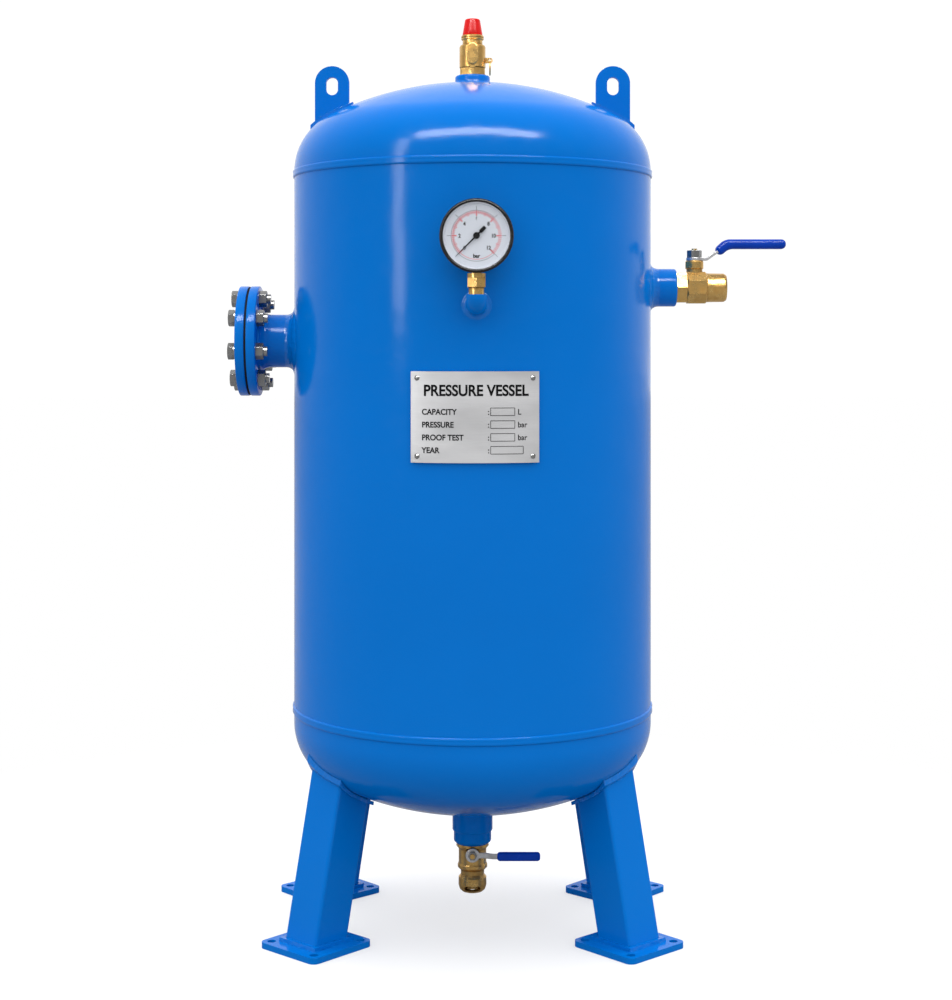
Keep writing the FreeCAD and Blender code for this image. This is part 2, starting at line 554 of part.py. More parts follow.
def valve_seats(radius, bore, cavity, near, far):
    ring = pipe(cavity - FIT, bore + 0.2, far - near, X * near, X)
    ring = ring.cut(Part.makeSphere(radius + RUNNING))
    return group([ring, ring.rotated(Vector(), Z, 180)])


def valve_stem(radius, ball_radius, top_radius, shoulder, top, turn):
    tang = box(Vector(-radius, -2.5, ball_radius - 3.8), Vector(radius, 2.5, ball_radius + 1))
    tang = tang.common(rod(radius, ball_radius + 2))
    stem = rod(radius, shoulder - ball_radius - 0.8, Z * (ball_radius + 0.8)).fuse(tang)
    return stem.fuse(rod(top_radius, top - shoulder, Z * shoulder)).rotated(Vector(), Z, turn)


def strap(outline, plan, width):
    """A bent strap: its side outline carried across the width, trimmed to its plan."""
    solid = prism([Vector(x, -width / 2, z) for x, z in outline], Y * width)
    return solid.common(plan)


def bent(points, half):
    """The side outline of a strip of that half thickness along an open line of points."""
    line = [Vector(x, 0, z) for x, z in points]
    normals = []
    for a, b in zip(line, line[1:]):
        step = (b - a).normalize()
        normals.append(Vector(-step.z, 0, step.x))
    upper, lower = [], []
    for i, point in enumerate(line):
        near = normals[max(i - 1, 0)] + normals[min(i, len(normals) - 1)]
        scale = 2 * half / near.Length ** 2
        upper.append(point + near * scale)
        lower.append(point - near * scale)
    return [(p.x, p.z) for p in upper + lower[::-1]]


def grip_sleeve(points, thick, width, core, round_off):
    """The moulded sleeve on a lever's end: a rounded bar along points, hollowed for core."""
    bar = prism([Vector(x, -width / 2, z) for x, z in bent(points, thick / 2)], Y * width)
    end = points[-1][0]
    long_edges = [e for e in bar.Edges if abs(e.tangentAt(0).y) < 0.1 and e.BoundBox.XMax > points[0][0] + 1
                  and not (e.BoundBox.XLength < 0.01 and e.BoundBox.XMax < end - 1)]
    return bar.makeFillet(round_off, long_edges).cut(core)


def outlet_valve():
    ball_r, bore_r, cavity_r = 19.0, 12.0, 20.5
    seat_near, seat_far = 8.0, 19.0
    hex_start, body_start = COUPLING_END_X - OUTLET_STEM_X, -14.0
    body_end, end_x = 20.0, 53.0
    spigot_r, spigot_end = 22.5, -8.0
    nipple_r, nipple_length = COUPLING_BORE_R - FIT, 21.0
    thread_r, thread_start = 19.5, 31.0
    neck_r, neck_low, neck_high = 15.3, 31.0, 45.7
    packing_r, packing_low = 11.0, 36.0
    stem_r, stem_top_r = 6.0, 5.0
    strap_low, strap_thick, strap_width = 46.0, 4.5, 24.0
    nut_high, stem_high = 63.0, 66.0

    body = regular(53.0, 8, body_end - body_start, turn=22.5)
    body = aimed(body, X * body_start, X)
    trim = turned([(0, body_start), (26.0, body_start), (29.0, body_start + 3), (29.0, body_end - 4),
                   (25.0, body_end), (0, body_end)])
    body = body.common(aimed(trim, Vector(), X))
    barrel = turned([(0, body_end), (24.5, body_end), (24.0, end_x - 4), (21.5, end_x), (0, end_x)])
    body = body.fuse(aimed(barrel, Vector(), X))
    neck = turned([(0, 0), (13.5, 0), (13.5, neck_low), (neck_r, neck_low + 1.5), (neck_r, neck_high - 2),
                   (neck_r - 1.5, neck_high), (0, neck_high)])
    body = body.fuse(neck)
    for radius, low, high in ((cavity_r, spigot_end, seat_far), (spigot_r, body_start, spigot_end),
                              (bore_r, seat_far, thread_start), (thread_r, thread_start, end_x)):
        body = body.cut(rod(radius, high - low, X * low, X))
    body = body.cut(rod(stem_r + RUNNING, packing_low)).cut(rod(packing_r + FIT, 20, Z * packing_low))

    adapter = aimed(regular(49.5, 6, body_start - hex_start, turn=0), X * hex_start, X)
    adapter = adapter.rotated(Vector(), X, 30)
    adapter = adapter.fuse(rod(nipple_r, nipple_length, X * (hex_start - nipple_length), X))
    adapter = adapter.fuse(rod(spigot_r - FIT, spigot_end - body_start, X * body_start, X))
    adapter = adapter.cut(rod(bore_r, nipple_length + 40, X * (hex_start - nipple_length), X))
    adapter = adapter.cut(rod(cavity_r, seat_far + spigot_end, X * -seat_far, X))

    gland = pipe(packing_r, stem_r + RUNNING, neck_high - packing_low, Z * packing_low)
    line = [(-15, strap_low + 2.25), (21, strap_low + 2.25), (56, 73.5), (150, 73.5)]
    plan = rod(strap_width / 2 + 2, 200, Z * 0).fuse(
        box(Vector(0, -strap_width / 2 + 2, 0), Vector(200, strap_width / 2 - 2, 200)))
    lever = strap(bent(line, strap_thick / 2), plan, strap_width + 4)
    sleeve = grip_sleeve([(39, 61.2), (56, 73.5), (154, 73.5)], 17.5, 25.0, lever, 7.5)
    lever = lever.cut(rod(stem_top_r, 100))
    nut = regular(22.0, 6, nut_high - strap_low - strap_thick, Z * (strap_low + strap_thick))
    nut = nut.cut(rod(stem_top_r, 100))
    return {"body": body, "adapter": adapter, "gland": gland,
            "seats": valve_seats(ball_r, bore_r, cavity_r, seat_near, seat_far),
            "ball": valve_ball(ball_r, bore_r, 0),
            "stem": valve_stem(stem_r, ball_r, stem_top_r, strap_low, stem_high, 0),
            "lever": lever, "nut": nut, "grip": sleeve}


def drain_valve():
    ball_r, bore_r, cavity_r = 15.0, 9.0, 16.2
    seat_near, seat_far = 6.0, 15.2
    top_x = DRAIN_STEM_Z - DRAIN_COUPLING_END_Z
    nipple_r, nipple_length = COUPLING_BORE_R - FIT, 22.0
    body_end, spigot_r = 32.0, 19.0
    collar_low, collar_high, bottom_x = 45.0, 58.0, 70.0
    slot_x, slot_width, slot_height = 61.0, 27.0, 8.6
    stem_r, stem_top_r = 4.5, 4.0
    neck_r, neck_high = 10.0, 35.0
    packing_r, packing_low = 7.5, 28.0
    strap_low, strap_thick = neck_high + MOVING_GAP, 3.5
    nut_high, stem_high = 44.0, 46.5
    reach = 113.0

    body = turned([
        (0, top_x - nipple_length), (nipple_r, top_x - nipple_length), (nipple_r, top_x),
        (27.0, top_x), (27.5, top_x + 4), (24.0, top_x + 8), (23.4, top_x + 10), (23.4, 20.0),
        (25.0, 24.0), (25.0, 28.0), (21.0, body_end), (0, body_end)])
    body = aimed(body, Vector(), X)
    body = body.fuse(rod(neck_r, neck_high))
    body = body.cut(rod(bore_r, 100, X * -100, X))
    body = body.cut(rod(cavity_r, 2 * seat_far, X * -seat_far, X))
    body = body.cut(rod(spigot_r + FIT, 30, X * seat_far, X))
    body = body.cut(rod(stem_r + RUNNING, packing_low)).cut(rod(packing_r + FIT, 20, Z * packing_low))

    end = turned([
        (bore_r, seat_far), (spigot_r, seat_far), (spigot_r, body_end + 1), (20.0, body_end + 1),
        (19.5, 40.0), (23.4, collar_low), (23.6, collar_high), (21.5, 65.0), (17.5, 68.8), (14.0, bottom_x),
        (bore_r, bottom_x)])
    end = aimed(end, Vector(), X)
    slot_r = slot_height / 2
    run = slot_width / 2 - slot_r
    slot = box(Vector(slot_x - slot_r, -run, 0), Vector(slot_x + slot_r, run, 40))
    for side in (-run, run):
        slot = slot.fuse(rod(slot_r, 40, Vector(slot_x, side, 0)))
    end = end.cut(slot)

    gland = pipe(packing_r, stem_r + RUNNING, neck_high - packing_low, Z * packing_low)
    middle = strap_low + strap_thick / 2
    line = [(-12, middle), (20, middle), (34, middle + 6), (reach - 4, middle + 6)]
    plan = rod(11.5, 100).fuse(box(Vector(0, -4.5, 0), Vector(200, 4.5, 100)))
    lever = strap(bent(line, strap_thick / 2), plan, 23.0)
    sleeve = grip_sleeve([(41, middle + 6), (reach, middle + 6)], 11.0, 15.0, lever, 4.5)
    lever = lever.cut(rod(stem_top_r, 100))
    nut = regular(13.0, 6, nut_high - strap_low - strap_thick, Z * (strap_low + strap_thick))
    nut = nut.cut(rod(stem_top_r, 100))
    closed = 90
    moving = {"ball": valve_ball(ball_r, bore_r, closed),
              "stem": valve_stem(stem_r, ball_r, stem_top_r, strap_low, stem_high, closed)}
    for name, shape in (("lever", lever), ("nut", nut), ("grip", sleeve)):
        moving[name] = shape.rotated(Vector(), Z, closed)
    fixed = {"body": body, "end": end, "gland": gland,
             "seats": valve_seats(ball_r, bore_r, cavity_r, seat_near, seat_far)}
    return {**fixed, **moving}


def couplings():
    at = Z * OUTLET_Z
    outlet = turned([
        (COUPLING_BORE_R, SHELL_R - NOZZLE_DEPTH), (COUPLING_R, SHELL_R - NOZZLE_DEPTH),
        (COUPLING_R, COUPLING_END_X - 2),
        (COUPLING_R - 2, COUPLING_END_X), (COUPLING_BORE_R, COUPLING_END_X)])
    inner_z = BOTTOM_Z + NOZZLE_DEPTH
    drain = turned([
        (COUPLING_BORE_R, inner_z), (DRAIN_COLLAR_R, inner_z), (DRAIN_COLLAR_R, DRAIN_COLLAR_Z + 2),
        (DRAIN_COUPLING_R, DRAIN_COLLAR_Z),
        (DRAIN_COUPLING_R, DRAIN_COUPLING_END_Z + 5), (DRAIN_COUPLING_R - 4, DRAIN_COUPLING_END_Z),
        (COUPLING_BORE_R, DRAIN_COUPLING_END_Z)])
    socket = turned([
        (SOCKET_BORE_R, TOP_Z - NOZZLE_DEPTH), (SOCKET_R, TOP_Z - NOZZLE_DEPTH), (SOCKET_R, SOCKET_TOP_Z - 3),
        (SOCKET_R - 3, SOCKET_TOP_Z), (SOCKET_BORE_R, SOCKET_TOP_Z)])
    welds = [
        fillet_weld(NECK_R, Z * INLET_Z, -X, SHELL_R, 13.0, 14.0),
        fillet_weld(COUPLING_R, at, X, SHELL_R, 11.0, 12.0),
        fillet_weld(ELBOW_R, Vector(GAUGE_X, 0, ELBOW_Z), -Y, SHELL_R, 8.0, 6.0),
        aimed(crown_weld(SOCKET_R, 6.0, 6.0), Z * TOP_Z, Z),
        aimed(crown_weld(DRAIN_COLLAR_R, 8.0, 8.0), Z * BOTTOM_Z, -Z)]
    return {"outlet_coupling": aimed(outlet, at, X), "drain_coupling": drain,
            "relief_socket": socket, "nozzle_welds": group(welds)}


# ------------------------------------------------------------------- safety valve
def safety_valve():
    hex_top = SOCKET_TOP_Z + RELIEF_HEX_HEIGHT
    body_top = hex_top + RELIEF_HEIGHT
    neck_top = body_top + RELIEF_NECK_HEIGHT
    bonnet_top = neck_top + BONNET_HEIGHT
    seat_z = hex_top - 4
    nipple = SOCKET_BORE_R - FIT

    body = turned([
        (0, SOCKET_TOP_Z - 18), (nipple, SOCKET_TOP_Z - 18), (nipple, SOCKET_TOP_Z), (RELIEF_R - 2, SOCKET_TOP_Z),
        (RELIEF_R - 2, hex_top), (RELIEF_R, hex_top + 1.5), (RELIEF_R, body_top - 5),
        (RELIEF_R - 1.5, body_top - 2), (RELIEF_NECK_R, body_top), (RELIEF_NECK_R, neck_top), (0, neck_top)])
    body = body.fuse(regular(RELIEF_HEX, 6, RELIEF_HEX_HEIGHT, Z * SOCKET_TOP_Z, 30).common(
        rod(RELIEF_R + 0.8, RELIEF_HEX_HEIGHT, Z * SOCKET_TOP_Z)))
    pad_r, pad_low, pad_high = 7.0, hex_top + 6, body_top - 10
    pad = box(Vector(-pad_r, -RELIEF_R - 1.5, pad_low), Vector(pad_r, -RELIEF_R + 6, pad_high))
    for z in (pad_low, pad_high):
        pad = pad.fuse(rod(pad_r, 7.5, Vector(0, -RELIEF_R - 1.5, z), Y))
    pad = pad.fuse(rod(3.0, 2.0, Vector(0, -RELIEF_R - 2.7, pad_low + 6), Y))
    eye_z = hex_top + 14
    tab = box(Vector(RELIEF_R - 5, -1.5, eye_z - 4.5), Vector(RING_X, 1.5, eye_z + 4.5))
    tab = tab.fuse(rod(4.5, 3, Vector(RING_X, -1.5, eye_z), Y))
    body = body.fuse(pad).fuse(tab)
    body = body.cut(rod(RELIEF_CAVITY_R, neck_top - seat_z, Z * seat_z))
    body = body.cut(rod(ORIFICE_R, 60, Z * (seat_z - 60)))
    body = body.cut(rod(RING_EYE_R, 10, Vector(RING_X, -5, eye_z), Y))
    body = body.cut(rod(3.0, RELIEF_R * 2, Z * (hex_top + 8), Y))

    bonnet = turned([
        (SPINDLE_R + RUNNING, neck_top - 5), (RELIEF_CAVITY_R - FIT, neck_top - 5), (RELIEF_CAVITY_R - FIT, neck_top),
        (BONNET_R - 1, neck_top), (BONNET_R, neck_top + 1), (BONNET_R, bonnet_top - 1), (BONNET_R - 1, bonnet_top),
        (SPINDLE_R + RUNNING, bonnet_top)])
    cap_low, cap_high = bonnet_top + MOVING_GAP, bonnet_top + CAP_HEIGHT
    cap = turned([
        (CAP_BASE_R - CAP_WALL, cap_low), (CAP_BASE_R, cap_low), (CAP_TOP_R, cap_high - 2),
        (CAP_TOP_R - 2, cap_high), (0, cap_high), (0, cap_high - 4), (CAP_TOP_R - CAP_WALL, cap_high - 4)])
    boss_low = bonnet_top + 3 * RELIEF_LIFT
    cap = cap.fuse(pipe(SPINDLE_R + 2.5, SPINDLE_R + MOVING_GAP, cap_high - 3 - boss_low, Z * boss_low))
    spindle_top = cap_high - 4 - RELIEF_LIFT - MOVING_GAP
    spindle = rod(SPINDLE_R, spindle_top - seat_z, Z * seat_z)
    spindle = spindle.fuse(rod(RELIEF_CAVITY_R - 1, 6, Z * seat_z))
    spring_low, spring_high = seat_z + 6, neck_top - 5
    coil = Part.makeHelix((spring_high - spring_low - 2 * SPRING_WIRE_R - 0.4) / SPRING_TURNS,
                          spring_high - spring_low - 2 * SPRING_WIRE_R - 0.4, SPRING_R)
    wire = Part.Wire(Part.makeCircle(SPRING_WIRE_R, Vector(SPRING_R, 0, 0), Y))
    spring = Part.Wire(coil).makePipeShell([wire], True, True)
    spring = spring.translated(Z * (spring_low + SPRING_WIRE_R + 0.2))
    hang = RING_EYE_R - RING_WIRE_R - MOVING_GAP
    ring = Part.makeTorus(RING_R, RING_WIRE_R, Vector(RING_X, 0, eye_z - hang - RING_R), X)
    return {"relief_body": body, "relief_bonnet": bonnet, "relief_cap": cap,
            "relief_spindle": spindle, "relief_spring": spring, "relief_ring": ring}


# --------------------------------------------------------------------------- main
def build():
    parts = {}
    for sub in (vessel, legs, lugs, flanged_inlet, gauge, nameplate, couplings, safety_valve):
        parts.update(sub())
    for name, shape in outlet_valve().items():
        parts["outlet_" + name] = placed(shape, Vector(OUTLET_STEM_X, 0, OUTLET_Z), X, Z)
    for name, shape in drain_valve().items():
        parts["drain_" + name] = placed(shape, Vector(0, 0, DRAIN_STEM_Z), -Z, -Y)
    return parts


os.makedirs("parts", exist_ok=True)
for node, solid in build().items():
    solid.exportStep(os.path.join("parts", node + ".step"))
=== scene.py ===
import json
import math

import bpy
from bpy.props import FloatProperty, FloatVectorProperty, IntProperty, PointerProperty
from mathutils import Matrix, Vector

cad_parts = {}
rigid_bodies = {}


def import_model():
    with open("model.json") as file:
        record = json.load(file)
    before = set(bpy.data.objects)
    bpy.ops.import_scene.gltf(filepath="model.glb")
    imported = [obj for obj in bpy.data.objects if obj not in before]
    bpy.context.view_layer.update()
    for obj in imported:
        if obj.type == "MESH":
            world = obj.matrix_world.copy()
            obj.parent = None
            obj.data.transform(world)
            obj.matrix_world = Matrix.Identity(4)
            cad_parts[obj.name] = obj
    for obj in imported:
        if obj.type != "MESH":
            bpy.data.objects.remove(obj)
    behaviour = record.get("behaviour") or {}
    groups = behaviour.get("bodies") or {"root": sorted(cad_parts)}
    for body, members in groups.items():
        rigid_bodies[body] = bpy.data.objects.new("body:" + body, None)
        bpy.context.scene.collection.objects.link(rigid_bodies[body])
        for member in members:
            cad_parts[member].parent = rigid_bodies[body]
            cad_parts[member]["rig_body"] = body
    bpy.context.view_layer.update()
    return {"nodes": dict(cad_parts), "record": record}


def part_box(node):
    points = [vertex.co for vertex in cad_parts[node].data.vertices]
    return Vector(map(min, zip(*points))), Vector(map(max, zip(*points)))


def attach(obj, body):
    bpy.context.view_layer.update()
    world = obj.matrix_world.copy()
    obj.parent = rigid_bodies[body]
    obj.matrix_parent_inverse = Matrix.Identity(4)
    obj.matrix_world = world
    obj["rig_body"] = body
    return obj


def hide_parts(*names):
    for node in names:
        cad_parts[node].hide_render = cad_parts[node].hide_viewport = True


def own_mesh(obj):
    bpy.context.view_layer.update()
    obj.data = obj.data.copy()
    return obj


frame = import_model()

bl_info = {
    "name": "Air receiver",
    "version": (1, 0, 0),
    "blender": (4, 5, 0),
    "location": "3D View > Sidebar > Receiver",
    "description": "Builds the skin, fittings and finishes of a vertical air receiver round its frame",
    "category": "Object",
}

MM = 0.001
X, Y, Z = Vector((1, 0, 0)), Vector((0, 1, 0)), Vector((0, 0, 1))
FULL = 2 * math.pi


def edges(node):
    """Lowest and highest corner of a node of the frame, in millimetres."""
    low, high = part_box(node)
    return low / MM, high / MM


SHELL_LOW, SHELL_HIGH = edges("shell")
TOP_Z = edges("top_head")[1].z
BOTTOM_Z = edges("bottom_head")[0].z
INLET_LOW, INLET_HIGH = edges("inlet_flange")
INLET_Z = (INLET_LOW.z + INLET_HIGH.z) / 2
BLIND_LOW, BLIND_HIGH = edges("blind_flange")
CASE_LOW, CASE_HIGH = edges("gauge_case")
GAUGE_X = (CASE_LOW.x + CASE_HIGH.x) / 2
GAUGE_Z = (CASE_LOW.z + CASE_HIGH.z) / 2
OUTLET_LOW, OUTLET_HIGH = edges("outlet_coupling")
OUTLET_Z = (OUTLET_LOW.z + OUTLET_HIGH.z) / 2
BONNET_LOW, BONNET_HIGH = edges("relief_bonnet")
CAP_LOW, CAP_HIGH = edges("relief_cap")
PLATE_LOW, PLATE_HIGH = edges("name_plate")


# ------------------------------------------------------------------------ settings
def length(name, default, text):
    """A size in millimetres that a user may change."""
    return FloatProperty(name=name, description=text, default=default * MM, unit="LENGTH", min=0.0)


def colour(name, default, text):
    return FloatVectorProperty(name=name, description=text, default=default, subtype="COLOR",
                               size=3, min=0.0, max=1.0)


class ReceiverSizes(bpy.types.PropertyGroup):
    crown: length("Crown radius", 540.0, "Radius of each head's middle")
    knuckle: length("Knuckle radius", 102.0, "Radius where each head turns into its flange")
    wall: length("Wall", 5.0, "Thickness of the shell and the heads")
    seam_width: length("Seam width", 13.0, "Width of each girth seam")
    leg_side: length("Leg side", 72.0, "Side of each square leg tube")
    leg_corner: length("Leg corner", 5.0, "Outside corner radius of a leg tube")
    neck: length("Neck radius", 44.5, "Outside radius of the inlet neck")
    hub: length("Hub radius", 54.0, "Radius of the hub where it meets the flange")
    coupling: length("Coupling radius", 31.85, "Outside radius of the outlet coupling")
    bezel_lip: length("Bezel lip", 5.5, "Width of the gauge bezel's lip")
    scale_radius: length("Scale radius", 38.0, "Radius of the thin arc on the dial")
    title_height: length("Title height", 17.0, "Height of the nameplate's title")
    steps: IntProperty(name="Round steps", description="Faces round the vessel", default=192, min=24)


class ReceiverColours(bpy.types.PropertyGroup):
    paint: colour("Enamel", (0.0, 0.158, 0.585), "Gloss enamel of the vessel")
    brass: colour("Brass", (0.70, 0.45, 0.155), "Brass of the valves")
    zinc: colour("Zinc", (0.30, 0.30, 0.295), "Plating of bolts and nuts")
    steel: colour("Steel", (0.64, 0.64, 0.65), "Pressed strip of the levers")
    plate: colour("Nameplate", (0.62, 0.62, 0.63), "Brushed alloy of the nameplate")
    grip: colour("Sleeve", (0.0, 0.045, 0.42), "Dipped vinyl of the lever sleeves")
    cap: colour("Cap", (0.72, 0.010, 0.010), "Moulded cap of the safety valve")
    dial: colour("Dial", (0.76, 0.80, 0.87), "Enamel of the gauge's dial")


# ----------------------------------------------------------------------- materials
class Signal:
    """A value that a node gives out, to be written in sums."""

    def __init__(self, shade, socket):
        self.shade, self.socket = shade, socket

    def math(self, operation, first, second):
        return self.shade.node("ShaderNodeMath", {"operation": operation}, {0: first, 1: second})[0]

    def __add__(self, other):
        return self.math("ADD", self, other)

    def __sub__(self, other):
        return self.math("SUBTRACT", self, other)

    def __rsub__(self, other):
        return self.math("SUBTRACT", other, self)

    def __mul__(self, other):
        return self.math("MULTIPLY", self, other)

    __radd__, __rmul__ = __add__, __mul__

    def between(self, low, high):
        """0 at low, 1 at high, and straight between."""
        return self.shade.node("ShaderNodeMapRange", {}, {0: self, 1: low, 2: high})[0]


class Shade:
    """One material in the making."""

    def __init__(self, name):
        self.material = bpy.data.materials.new(name)
        self.material.use_nodes = True
        self.tree = self.material.node_tree
        self.surface = self.tree.nodes["Principled BSDF"]
        place = self.tree.nodes.new("ShaderNodeTexCoord")
        self.place = Signal(self, place.outputs["Object"])

    def feed(self, socket, value):
        if isinstance(value, Signal):
            self.tree.links.new(value.socket, socket)
        elif isinstance(value, tuple) and len(value) == 3 and socket.type == "RGBA":
            socket.default_value = (*value, 1.0)
        else:
            socket.default_value = value

    def node(self, kind, settings, values):
        """Adds a node: its settings first, then the values or links of its sockets."""
        node = self.tree.nodes.new(kind)
        for name, value in settings.items():
            setattr(node, name, value)
        for name, value in values.items():
            self.feed(node.inputs[name], value)
        return [Signal(self, out) for out in node.outputs]

    def stretched(self, scale):
        return self.node("ShaderNodeMapping", {}, {"Vector": self.place, "Scale": scale})[0]

    def noise(self, scale, detail=3.0, rough=0.5, stretch=(1, 1, 1)):
        where = self.place if stretch == (1, 1, 1) else self.stretched(stretch)
        return self.node("ShaderNodeTexNoise", {}, {
            "Vector": where, "Scale": scale, "Detail": detail, "Roughness": rough})[0]

    def cells(self, scale):
        return self.node("ShaderNodeTexVoronoi", {"feature": "SMOOTH_F1"}, {
            "Vector": self.place, "Scale": scale, "Smoothness": 0.6})[0]

    def mix(self, factor, first, second):
        return self.node("ShaderNodeMix", {"data_type": "RGBA"}, {0: factor, 6: first, 7: second})[2]

    def bump(self, height, depth, over=None):
        values = {"Height": height, "Distance": depth, "Strength": 1.0}
        if over is not None:
            values["Normal"] = over
        return self.node("ShaderNodeBump", {}, values)[0]

    def crevices(self, reach):
        """1 in the open and 0 deep in a corner of the piece: ambient occlusion, the mask of the painted
        corner shade.
        """
        return self.node("ShaderNodeAmbientOcclusion", {"samples": 6, "only_local": True}, {
            "Distance": reach})[1]

    def set(self, **values):
        for name, value in values.items():
            self.feed(self.surface.inputs[name.replace("_", " ")], value)
        return self.material


def tone(base, factor):
    return tuple(min(1.0, c * factor) for c in base)


def worn(shade, base, spread=0.10, scale=7.0):
    """The base colour with slow cloudy changes and a little fine speckle."""
    clouds = shade.noise(scale, 4.0, 0.55).between(0.3, 0.7)
    cloudy = shade.mix(clouds, tone(base, 1 - spread), tone(base, 1 + spread * 0.6))
    specks = shade.noise(900.0, 1.0).between(0.70, 0.78) * 0.25
    return shade.mix(specks, cloudy, tone(base, 1 + spread * 1.5))


def enamel(name, base, bead=False):
    """Gloss paint with orange peel, slow sags and light scuffs; a bead's skin is lumpy and shinier."""
    shade = Shade(name)
    peel = shade.noise(300.0, 2.0, 0.45)
    sag = shade.noise(9.0, 2.0, 0.4)
    normal = shade.bump(sag, 0.0016)
    normal = shade.bump(peel, 0.00010, over=normal)
    if bead:
        lumps = shade.cells(150.0) * 0.7 + shade.noise(90.0, 2.0) * 0.6
        normal = shade.bump(lumps, 0.0012, over=normal)
    scuffs = shade.noise(34.0, 5.0, 0.65).between(0.45, 0.75)
    rough = 0.13 + scuffs * 0.08
    return shade.set(Base_Color=worn(shade, base, 0.05, 2.4), Roughness=rough,
                     Specular_IOR_Level=0.35 if bead else 0.10,
                     Coat_Weight=0.0, Normal=normal)


def cast_brass(name, base, grain=1.0):
    """Brass with casting grain, browner tarnish in patches and painted shade that darkens its corners."""
    shade = Shade(name)
    pits = shade.noise(520.0, 3.0, 0.6)
    waves = shade.noise(90.0, 2.0, 0.5)
    normal = shade.bump(waves, 0.0006 * grain)
    normal = shade.bump(pits, 0.00022 * grain, over=normal)
    tarnish = shade.noise(42.0, 5.0, 0.6).between(0.42, 0.72)
    tint = shade.mix(tarnish, base, (base[0] * 0.80, base[1] * 0.66, base[2] * 0.48))
    lighter = shade.mix(pits.between(0.62, 0.80) * 0.5, tint, tone(base, 1.12))
    # Painted shade: ambient occlusion darkens the colour nearly to black in corners and crevices, and
    # roughens them there.
    corner_shade = (1 - shade.crevices(0.005)).between(0.03, 0.45)
    lighter = shade.mix(corner_shade, lighter, (base[0] * 0.16, base[1] * 0.11, base[2] * 0.08))
    rough = 0.22 + tarnish * 0.14 + pits * 0.08 + corner_shade * 0.3
    return shade.set(Base_Color=lighter, Metallic=0.92, Roughness=rough, Normal=normal)


def plated(name, base, rough=0.20, streak=(1, 1, 1)):
    """Zinc or steel: soft blotches, fine grain along streak and painted shade that darkens its corners."""
    shade = Shade(name)
    blotch = shade.noise(60.0, 4.0, 0.6).between(0.35, 0.7)
    grain = shade.noise(700.0, 2.0, 0.5, streak)
    tint = shade.mix(blotch, tone(base, 1.08), tone(base, 0.74))
    tint = shade.mix(grain.between(0.55, 0.75) * 0.35, tint, tone(base, 0.6))
    normal = shade.bump(grain, 0.00012)
    # Painted shade: ambient occlusion darkens the colour in corners and crevices.
    corner_shade = (1 - shade.crevices(0.005)).between(0.1, 0.7)
    tint = shade.mix(corner_shade, tint, tone(base, 0.16))
    return shade.set(Base_Color=tint, Metallic=0.95, Roughness=rough + blotch * 0.14 + grain * 0.06,
                     Normal=normal)


def brushed_plate(name, base):
    """Alloy sheet with broad cloudy bands and brush lines along it."""
    shade = Shade(name)
    brush = shade.noise(420.0, 3.0, 0.6, (0.06, 0.06, 1.0))
    broad = shade.noise(16.0, 3.0, 0.5, (0.35, 0.35, 1.0)).between(0.35, 0.68)
    tint = shade.mix(broad, tone(base, 0.86), tone(base, 1.14))
    tint = shade.mix(brush.between(0.5, 0.8) * 0.25, tint, tone(base, 0.78))
    return shade.set(Base_Color=tint, Metallic=0.55, Roughness=0.34 + brush * 0.14,
                     Normal=shade.bump(brush, 0.00012))


def moulded(name, base, rough=0.32, shine=0.1, grain=0.00008, scale=420.0, spread=0.10):
    """Plastic, rubber, ink or enamelled sheet: a fine texture, scuffs and a slight unevenness."""
    shade = Shade(name)
    texture = shade.noise(scale, 3.0, 0.6)
    slow = shade.noise(70.0, 2.0)
    normal = shade.bump(slow, 0.0003)
    normal = shade.bump(texture, grain, over=normal)
    scuffs = shade.noise(110.0, 5.0, 0.7).between(0.5, 0.78)
    return shade.set(Base_Color=worn(shade, base, spread, 28.0), Roughness=rough + scuffs * 0.14,
                     Specular_IOR_Level=shine, Normal=normal)


def clear_glass(name):
    """Window glass: see-through, with a sheen that grows towards grazing and a little dust."""
    shade = Shade(name)
    tree = shade.tree
    tree.nodes.remove(shade.surface)
    see = tree.nodes.new("ShaderNodeBsdfTransparent")
    gloss = tree.nodes.new("ShaderNodeBsdfGlossy")
    gloss.inputs["Roughness"].default_value = 0.05
    mix = tree.nodes.new("ShaderNodeMixShader")
    dust = shade.noise(380.0, 4.0, 0.6).between(0.62, 0.85)
    rim = shade.node("ShaderNodeLayerWeight", {}, {"Blend": 0.25})[0]
    shade.feed(mix.inputs[0], rim * 0.35 + dust * 0.03 + 0.01)
    tree.links.new(see.outputs[0], mix.inputs[1])
    tree.links.new(gloss.outputs[0], mix.inputs[2])
    tree.links.new(mix.outputs[0], tree.nodes["Material Output"].inputs["Surface"])
    return shade.material


def studio_floor(name):
    """A floor that glows plain white to the camera, the more so away from the vessel, over a diffuse floor
    that keeps a soft shadow under it; to other rays it is dark grey, so less light bounces up onto the
    vessel.
    """
    shade = Shade(name)
    seen = shade.node("ShaderNodeLightPath", {}, {})[0]
    # Painted shade: light grey to the camera, but dark grey to the light that bounces up onto the vessel's
    # underside.
    shade.set(Base_Color=shade.mix(seen, (0.30, 0.30, 0.30), (0.90, 0.90, 0.90)), Roughness=0.9,
              Specular_IOR_Level=0.0)
    glow = shade.tree.nodes.new("ShaderNodeEmission")
    mix = shade.tree.nodes.new("ShaderNodeMixShader")
    away = shade.node("ShaderNodeVectorMath", {"operation": "LENGTH"}, {0: shade.place})[1]
    # Painted light: the floor glows for camera rays, half near the vessel and fully white away from it.
    shade.feed(mix.inputs[0], seen * (away.between(0.55, 1.5) * 0.45 + 0.55))
    shade.tree.links.new(shade.surface.outputs[0], mix.inputs[1])
    shade.tree.links.new(glow.outputs[0], mix.inputs[2])
    shade.tree.links.new(mix.outputs[0], shade.tree.nodes["Material Output"].inputs["Surface"])
    return shade.material


